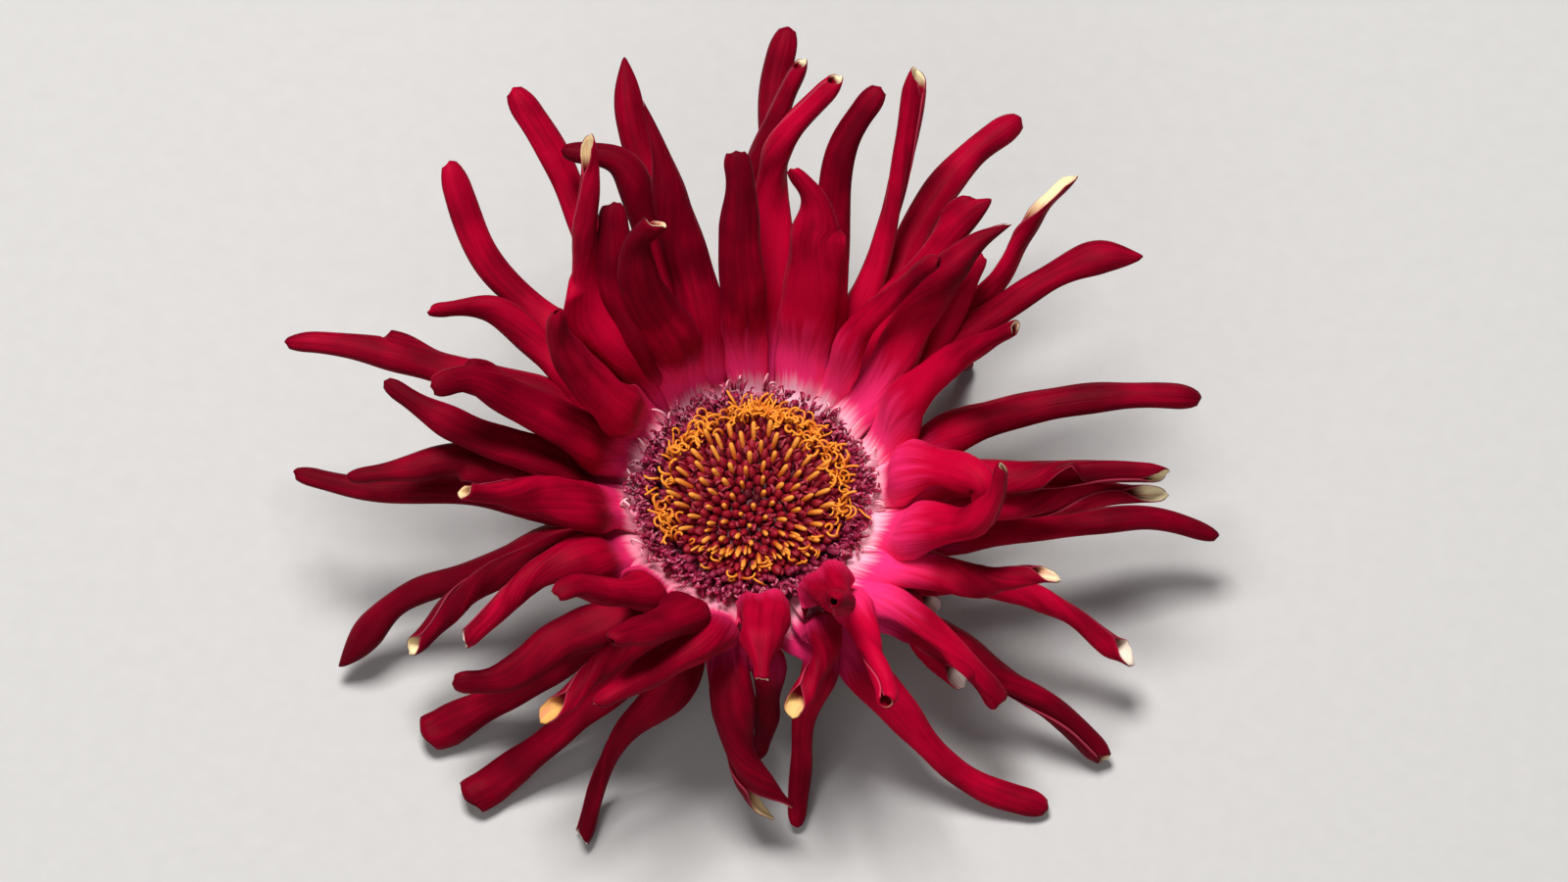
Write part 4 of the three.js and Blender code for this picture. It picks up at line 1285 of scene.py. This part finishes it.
@dataclass
class OpenedRing:
    """The ring of opened florets, a tangle of orange curls in clumps.

    Sizes are in mm, leans in degrees. A clump has its first and last bearing in degrees and its
    number of curls. A curl's heading starts up to first_heading to either side of outward and turns
    by up to turning; its climb goes from the first to one within last_climb, all in radians. Heights
    are the least and greatest above the face.
    """

    clumps: tuple[tuple[float, float, int], ...] = (
        (62, 100, 64), (102, 156, 44), (-18, 60, 78), (162, 212, 34), (212, 342, 20),
    )
    middle: float = 11.3
    scatter: float = 0.65
    half_width: float = 0.175
    stations: int = 18
    first_heading: float = 1.6
    turning: float = 5.5
    first_climb: float = 1.25
    last_climb: Span = (-0.7, 0.5)
    length: Span = (2.0, 3.8)
    heights: Span = (-2.2, 0.6)
    tube: Stalk = Stalk(3.2, 0.46, (0.8, 0.85, 0.9, 1.0, 1.1, 0.7), 7)
    tube_count: int = 130
    tube_radius: Span = (10.2, 12.9)
    tube_lean: Span = (35, 58)
    tube_length: Span = (2.0, 2.9)
    tube_root: float = 0.5
    seed: int = 31

    def curls(self) -> None:
        """Build the curled threads.

        In words: each starts steeply and bends flat, while its heading turns round at a steady rate
        of its own, so that it loops; its height is held within the ring.
        """
        rng = np.random.default_rng(self.seed)
        bearing = np.radians(np.concatenate([rng.uniform(*clump) for clump in self.clumps]))
        count = len(bearing)
        radius = rng.normal(self.middle, self.scatter, count)
        step = np.linspace(0, 1, self.stations)[None]
        heading = rng.uniform(-self.first_heading, self.first_heading, count)[:, None]
        heading = heading + rng.uniform(-self.turning, self.turning, count)[:, None] * step**1.3
        last = rng.uniform(*self.last_climb, count)[:, None]
        climb = lerp(self.first_climb, last, smoothstep(step, 0.1, 0.75))
        length = rng.uniform(*self.length, count)
        paths = walked(bearing, around(bearing, radius, FACE - 1.7), heading, climb, length)
        lowest, highest = self.heights
        paths[..., 2] = np.clip(paths[..., 2], FACE + lowest, FACE + highest)
        width = self.half_width * np.linspace(1.1, 0.75, self.stations)[None]
        width = width * rng.uniform(0.8, 1.25, count)[:, None]
        tint = rng.random(count)[:, None]
        shape = strands(paths, np.tile(UP, (count, 1)), width, width, 6, along=step, tint=tint)
        shape.piece("orange_curls", "opened_floret", CURL_ORANGE, "opened_florets")

    def tubes(self) -> None:
        """Build the dark tubes that the curls come out of."""
        spans = self.tube_radius, self.tube_lean, self.tube_length
        shape = self.tube.ring(self.seed + 1, self.tube_count, *spans, self.tube_root)
        shape.piece("opened_tubes", "opened_floret", TUBE_PLUM, "opened_florets")


@dataclass
class OuterRing:
    """The purple ring of small lipped florets next to the rays.

    Sizes are in mm, leans in degrees and bends in radians. The lips' headings scatter round outward
    by lip_scatter radians.
    """

    lip: Lip = Lip(0.26, (0.7, 0.9, 1.0, 1.0, 0.95, 0.8, 0.55, 0.2), 0.4)
    lip_count: int = 560
    lip_radius: Span = (12.2, 15.3)
    lip_scatter: float = 0.9
    lip_bend: Span = (1.2, 3.6)
    lip_size: Span = (0.35, 0.75)
    tube: Stalk = Stalk(3.0, 0.46, (0.9, 0.95, 1.0, 1.05, 0.6), 6)
    tube_count: int = 190
    tube_radius: Span = (12.2, 14.2)
    tube_lean: Span = (40, 62)
    tube_length: Span = (1.6, 2.4)
    tube_root: float = 0.4
    seed: int = 43

    def lips(self) -> None:
        """Build the curled purple lips, most of which bend outward."""
        rng = np.random.default_rng(self.seed)
        count = self.lip_count
        bearing = np.arange(count) * GOLDEN_ANGLE
        radius = rng.uniform(*self.lip_radius, count)
        outward, sideways = compass(bearing)
        turn = rng.normal(0, self.lip_scatter, count)[:, None]
        heading = unit(outward * np.cos(turn) + sideways * np.sin(turn))
        bend = rng.uniform(*self.lip_bend, count)
        size = rng.uniform(*self.lip_size, count)
        height = FACE - 2.1 + 0.5 * rng.random(count) + 0.25 * (radius - 12.4)
        start = around(bearing, radius, height)
        own = rng.uniform(0.7, 1.2, count)
        shape = self.lip.grow(start, unit(outward * 0.7 + UP), heading, bend, size, own, rng.random(count))
        shape.piece("purple_lips", "outer_floret", LIP_PURPLE, "outer_florets")

    def bed(self) -> None:
        """Build the crowded tubes that the lips stand on."""
        spans = self.tube_radius, self.tube_lean, self.tube_length
        shape = self.tube.ring(self.seed + 1, self.tube_count, *spans, self.tube_root)
        shape.piece("purple_tubes", "outer_floret", TUBE_PLUM, "outer_florets")


@dataclass
class InnerLips:
    """The pale thread-like inner lips that curl up in pairs at the roots of some rays.

    Sizes are in mm, bearings in degrees. A thread's climb turns by an angle within coil, in radians.
    """

    bearings: tuple[float, ...] = (24, 14, 4, -6, -31, 52, 84, 100, 132, 158, 172, 186, 204)
    half_width: float = 0.12
    stations: int = 20
    radius: Span = (15.0, 15.8)
    coil: Span = (2.2, 5.2)
    length: Span = (2.6, 4.2)
    seed: int = 53

    def threads(self) -> None:
        """Build threads that rise between ring and rays and coil at their ends.

        In words: each goes up and outward, and its climb turns by up to a full turn along it.
        """
        rng = np.random.default_rng(self.seed)
        bearing = np.radians(np.repeat(self.bearings, 2) + rng.uniform(-5, 5, 2 * len(self.bearings)))
        count = len(bearing)
        step = np.linspace(0, 1, self.stations)[None]
        climb = 1.3 - rng.uniform(*self.coil, count)[:, None] * step**1.5
        heading = rng.uniform(-0.9, 0.9, count)[:, None] * (1 + step)
        length = rng.uniform(*self.length, count)
        start = around(bearing, rng.uniform(*self.radius, count), FACE - 2.2)
        paths = walked(bearing, start, heading, climb, length)
        width = self.half_width * np.linspace(1.2, 0.6, self.stations)[None]
        tint = rng.random(count)[:, None]
        shape = strands(paths, compass(bearing)[1], width * 1.4, width, 6, along=step, tint=tint)
        shape.piece("inner_lips", "petal", THREAD_PINK, "ray_florets")


@dataclass
class Underside:
    """Stem stub, receptacle, collar and bracts under the rays.

    Sizes are in mm. The cup's outline has distances from the axis and heights above the floor. The
    ring's outline and the middle line of a row of bracts have heights from the face, and a row has
    its width as well.
    """

    stem_radius: float = 3.35
    rib_count: int = 14
    cup: tuple[Span, ...] = (
        (4.1, 9.3), (6.2, 11.0), (8.4, 12.8), (10.1, 14.2), (10.9, 15.6), (10.95, FACE - 4.7),
    )
    ring: tuple[Span, ...] = (
        (11.3, -9.6), (12.8, -9.5), (14.2, -7.8), (14.3, -4.6), (13.6, -4.0), (11.4, -4.0),
    )
    bract_rows: tuple[tuple[tuple[tuple[float, float], ...], float], ...] = (
        (((5.4, -17.2), (8.6, -15.2), (11.0, -13.6), (12.6, -13.4)), 2.6),
        (((6.4, -16.2), (10.4, -13.6), (13.2, -12.6), (15.3, -13.6)), 3.0),
        (((8.6, -14.3), (12.0, -11.6), (14.6, -10.9), (16.9, -11.8)), 3.0),
    )
    bracts_per_row: int = 17
    bract_thickness: float = 0.35
    hair_count: int = 900
    hair_half_width: float = 0.05
    hair_length: Span = (0.5, 1.1)
    hair_heights: Span = (0.8, 9.0)
    seed: int = 61

    def stem(self) -> None:
        """Build the stub that widens into the receptacle, with low ribs round the stem."""
        stub = self.stem_radius
        profile = [(stub - 0.25, 0.0), (stub, 0.12)]
        profile += [(stub + 0.03 * math.sin(height), height) for height in np.linspace(0.3, 8.2, 12)]
        profile += self.cup

        def ribs(bearing: Array, height: Array) -> Array:
            """Low ribs that fade above the stub and at the cut."""
            fade = smoothstep(height, 0.1, 0.8) * (1 - smoothstep(height, 8, 12))
            return 0.07 * np.cos(self.rib_count * bearing) * fade

        lathe(profile, 112, ribs).piece("stem_stub", "stem", GREEN_SKIN, "stem_receptacle")

    def collar(self) -> None:
        """Build the ring that the rays are rooted in."""
        profile = [(radius, FACE + height) for radius, height in self.ring]
        shape = lathe(profile, 96, lambda bearing, height: 0.1 * np.cos(48 * bearing))
        shape.piece("ray_collar", "petal", COLLAR_PLUM, "ray_florets")

    def bracts(self) -> None:
        """Build three rows of narrow pointed bracts that clasp the receptacle.

        In words: each follows the cup outward and up; its half width swells and then runs to a
        point as a sine of the share to a power, and it is keeled along its middle.
        """
        rng = np.random.default_rng(self.seed)
        shapes = []
        share = np.linspace(0, 1, 14)[:, None]
        across = np.linspace(-1, 1, 7)[None]
        keel = 1 - np.abs(across)
        thick = self.bract_thickness * (1 - 0.5 * np.abs(across))
        for number, (places, width) in enumerate(self.bract_rows):
            route = spline(np.array([(radius, 0.0, height) for radius, height in places]), share[:, 0])
            for k in range(self.bracts_per_row):
                bearing = 2 * np.pi * (k + number / 3 + rng.uniform(-0.12, 0.12)) / self.bracts_per_row
                half = 0.5 * width * rng.uniform(0.9, 1.1) * np.sin(np.pi * (0.22 + 0.78 * share)) ** 0.8
                radius = route[:, :1]
                lift = route[:, 2:] + FACE - 0.28 * keel - 0.12 * number
                turn = bearing + across * half / np.maximum(radius, 4.0)
                tint = np.full(turn.shape, rng.random())
                along = np.broadcast_to(share, turn.shape)
                under, top = around(turn, radius, lift), around(turn, radius, lift + thick)
                shapes.append(shell(under, top, {"along": (along, along), "tint": (tint, tint)}))
        shape = Shape.joined(shapes)
        shape.faces = shape.faces[:, ::-1]
        shape.piece("bracts", "bract", GREEN_SKIN, "involucre_bracts")

    def hairs(self) -> None:
        """Build the fine pale hairs on the stub, which droop with the square of the share."""
        rng = np.random.default_rng(self.seed + 1)
        count = self.hair_count
        bearing = rng.uniform(0, 2 * np.pi, count)
        height = rng.uniform(*self.hair_heights, count)
        direction = unit(around(bearing + rng.normal(0, 0.4, count), 1.0, rng.normal(0.1, 0.4, count)))
        start = around(bearing, self.stem_radius - 0.05, height)
        step = np.linspace(0, 1, 4)[None, :, None]
        length = rng.uniform(*self.hair_length, count)[:, None, None]
        paths = start[:, None] + length * (direction[:, None] * step - 0.35 * UP * step**2)
        paths[..., 2] = np.maximum(paths[..., 2], 0.1)
        width = self.hair_half_width * np.array([1.0, 0.8, 0.55, 0.2])[None]
        side = compass(bearing)[1]
        shape = strands(paths, side, width, width, 3, along=step[..., 0], tint=rng.random(count)[:, None])
        shape.piece("stem_hairs", "stem", PALE_HAIR, "stem_receptacle")


@dataclass
class Studio:
    """Floor, light and camera.

    Sizes are in metres, but the camera's aim from the disc's centre is in mm. A lamp has its name,
    place, width, power in watts and colour.
    """

    floor_half: float = 3.0
    distance: float = 1.6
    lens: float = 288.0
    aim_across: float = 4.0
    aim_up: float = 6.25
    air: Colour = (0.8, 0.82, 0.85)
    air_strength: float = 0.14
    lamps: tuple[tuple[str, Colour, float, float, Colour], ...] = (
        ("key", (-0.12, 0.28, 1.1), 0.4, 17.0, (1.0, 0.98, 0.96)),
        ("fill", (-0.35, -0.95, 0.8), 0.9, 4.5, (1.0, 0.98, 0.98)),
    )

    def floor(self) -> None:
        """Lay a plain pale floor."""
        half = self.floor_half
        mesh = bpy.data.meshes.new("floor")
        corners = [(-half, -half, 0), (half, -half, 0), (half, half, 0), (-half, half, 0)]
        mesh.from_pydata(corners, [], [(0, 1, 2, 3)])
        paint = Paint("floor_paper")
        grain = paint.noise(paint.place(), 0.4, 2.0)
        paint.set(Base_Color=paint.mix(grain, (0.48, 0.475, 0.47), (0.52, 0.515, 0.51)), Roughness=0.85)
        mesh.materials.append(paint.material)
        added("floor", mesh)

    @staticmethod
    def aim(made: bpy.types.Object, place: Vector, direction: Vector) -> None:
        """Put a light or camera at a place and point it in a direction."""
        made.location = place
        made.rotation_euler = direction.to_track_quat("-Z", "Y").to_euler()

    def light(self, name: str, place: Colour, size: float, power: float, colour: Colour) -> None:
        """Hang a square soft light that points at the bloom.

        Args:
            name: its name.
            place: where it hangs.
            size: its width.
            power: in watts.
            colour: its colour.
        """
        lamp = bpy.data.lights.new(name, "AREA")
        lamp.size = size
        lamp.energy = power
        lamp.color = colour
        self.aim(added(name, lamp), Vector(place), Vector((0, 0, 0.02)) - Vector(place))

    def camera(self) -> None:
        """Set the camera on the line of sight, aimed a little above and right of the disc."""
        target = Vector(SIGHT.place([(self.aim_across, self.aim_up, 0)])[0] * MM)
        back = Vector((0, -math.cos(SIGHT.elevation), math.sin(SIGHT.elevation)))
        lens = bpy.data.cameras.new("camera")
        lens.lens = self.lens
        lens.sensor_width = 36
        lens.clip_start = 0.01
        made = added("camera", lens)
        self.aim(made, target + back * self.distance, -back)
        bpy.context.scene.camera = made

    def build(self) -> None:
        """Set up floor, lights, surroundings and camera."""
        self.floor()
        for lamp in self.lamps:
            self.light(*lamp)
        bpy.context.scene.view_settings.view_transform = "Standard"
        world = bpy.data.worlds.new("studio")
        bpy.context.scene.world = world
        world.use_nodes = True
        background = world.node_tree.nodes["Background"]
        background.inputs[0].default_value = (*self.air, 1)
        background.inputs[1].default_value = self.air_strength
        self.camera()


def main() -> None:
    """Build the bloom and its studio."""
    logging.basicConfig(level=logging.INFO, format="%(message)s")
    Studio().build()
    for seed, (whorl, rays) in enumerate(zip(Whorl, (INNER_RAYS, MIDDLE_RAYS, OUTER_RAYS)), 1):
        RayWhorl(whorl, rays, seed).build()
    disc, opened, outer, underside = Disc(), OpenedRing(), OuterRing(), Underside()
    disc.buds()
    disc.lips()
    disc.columns()
    opened.curls()
    opened.tubes()
    outer.lips()
    outer.bed()
    InnerLips().threads()
    underside.stem()
    underside.collar()
    underside.bracts()
    underside.hairs()


if __name__ == "__main__":
    main()
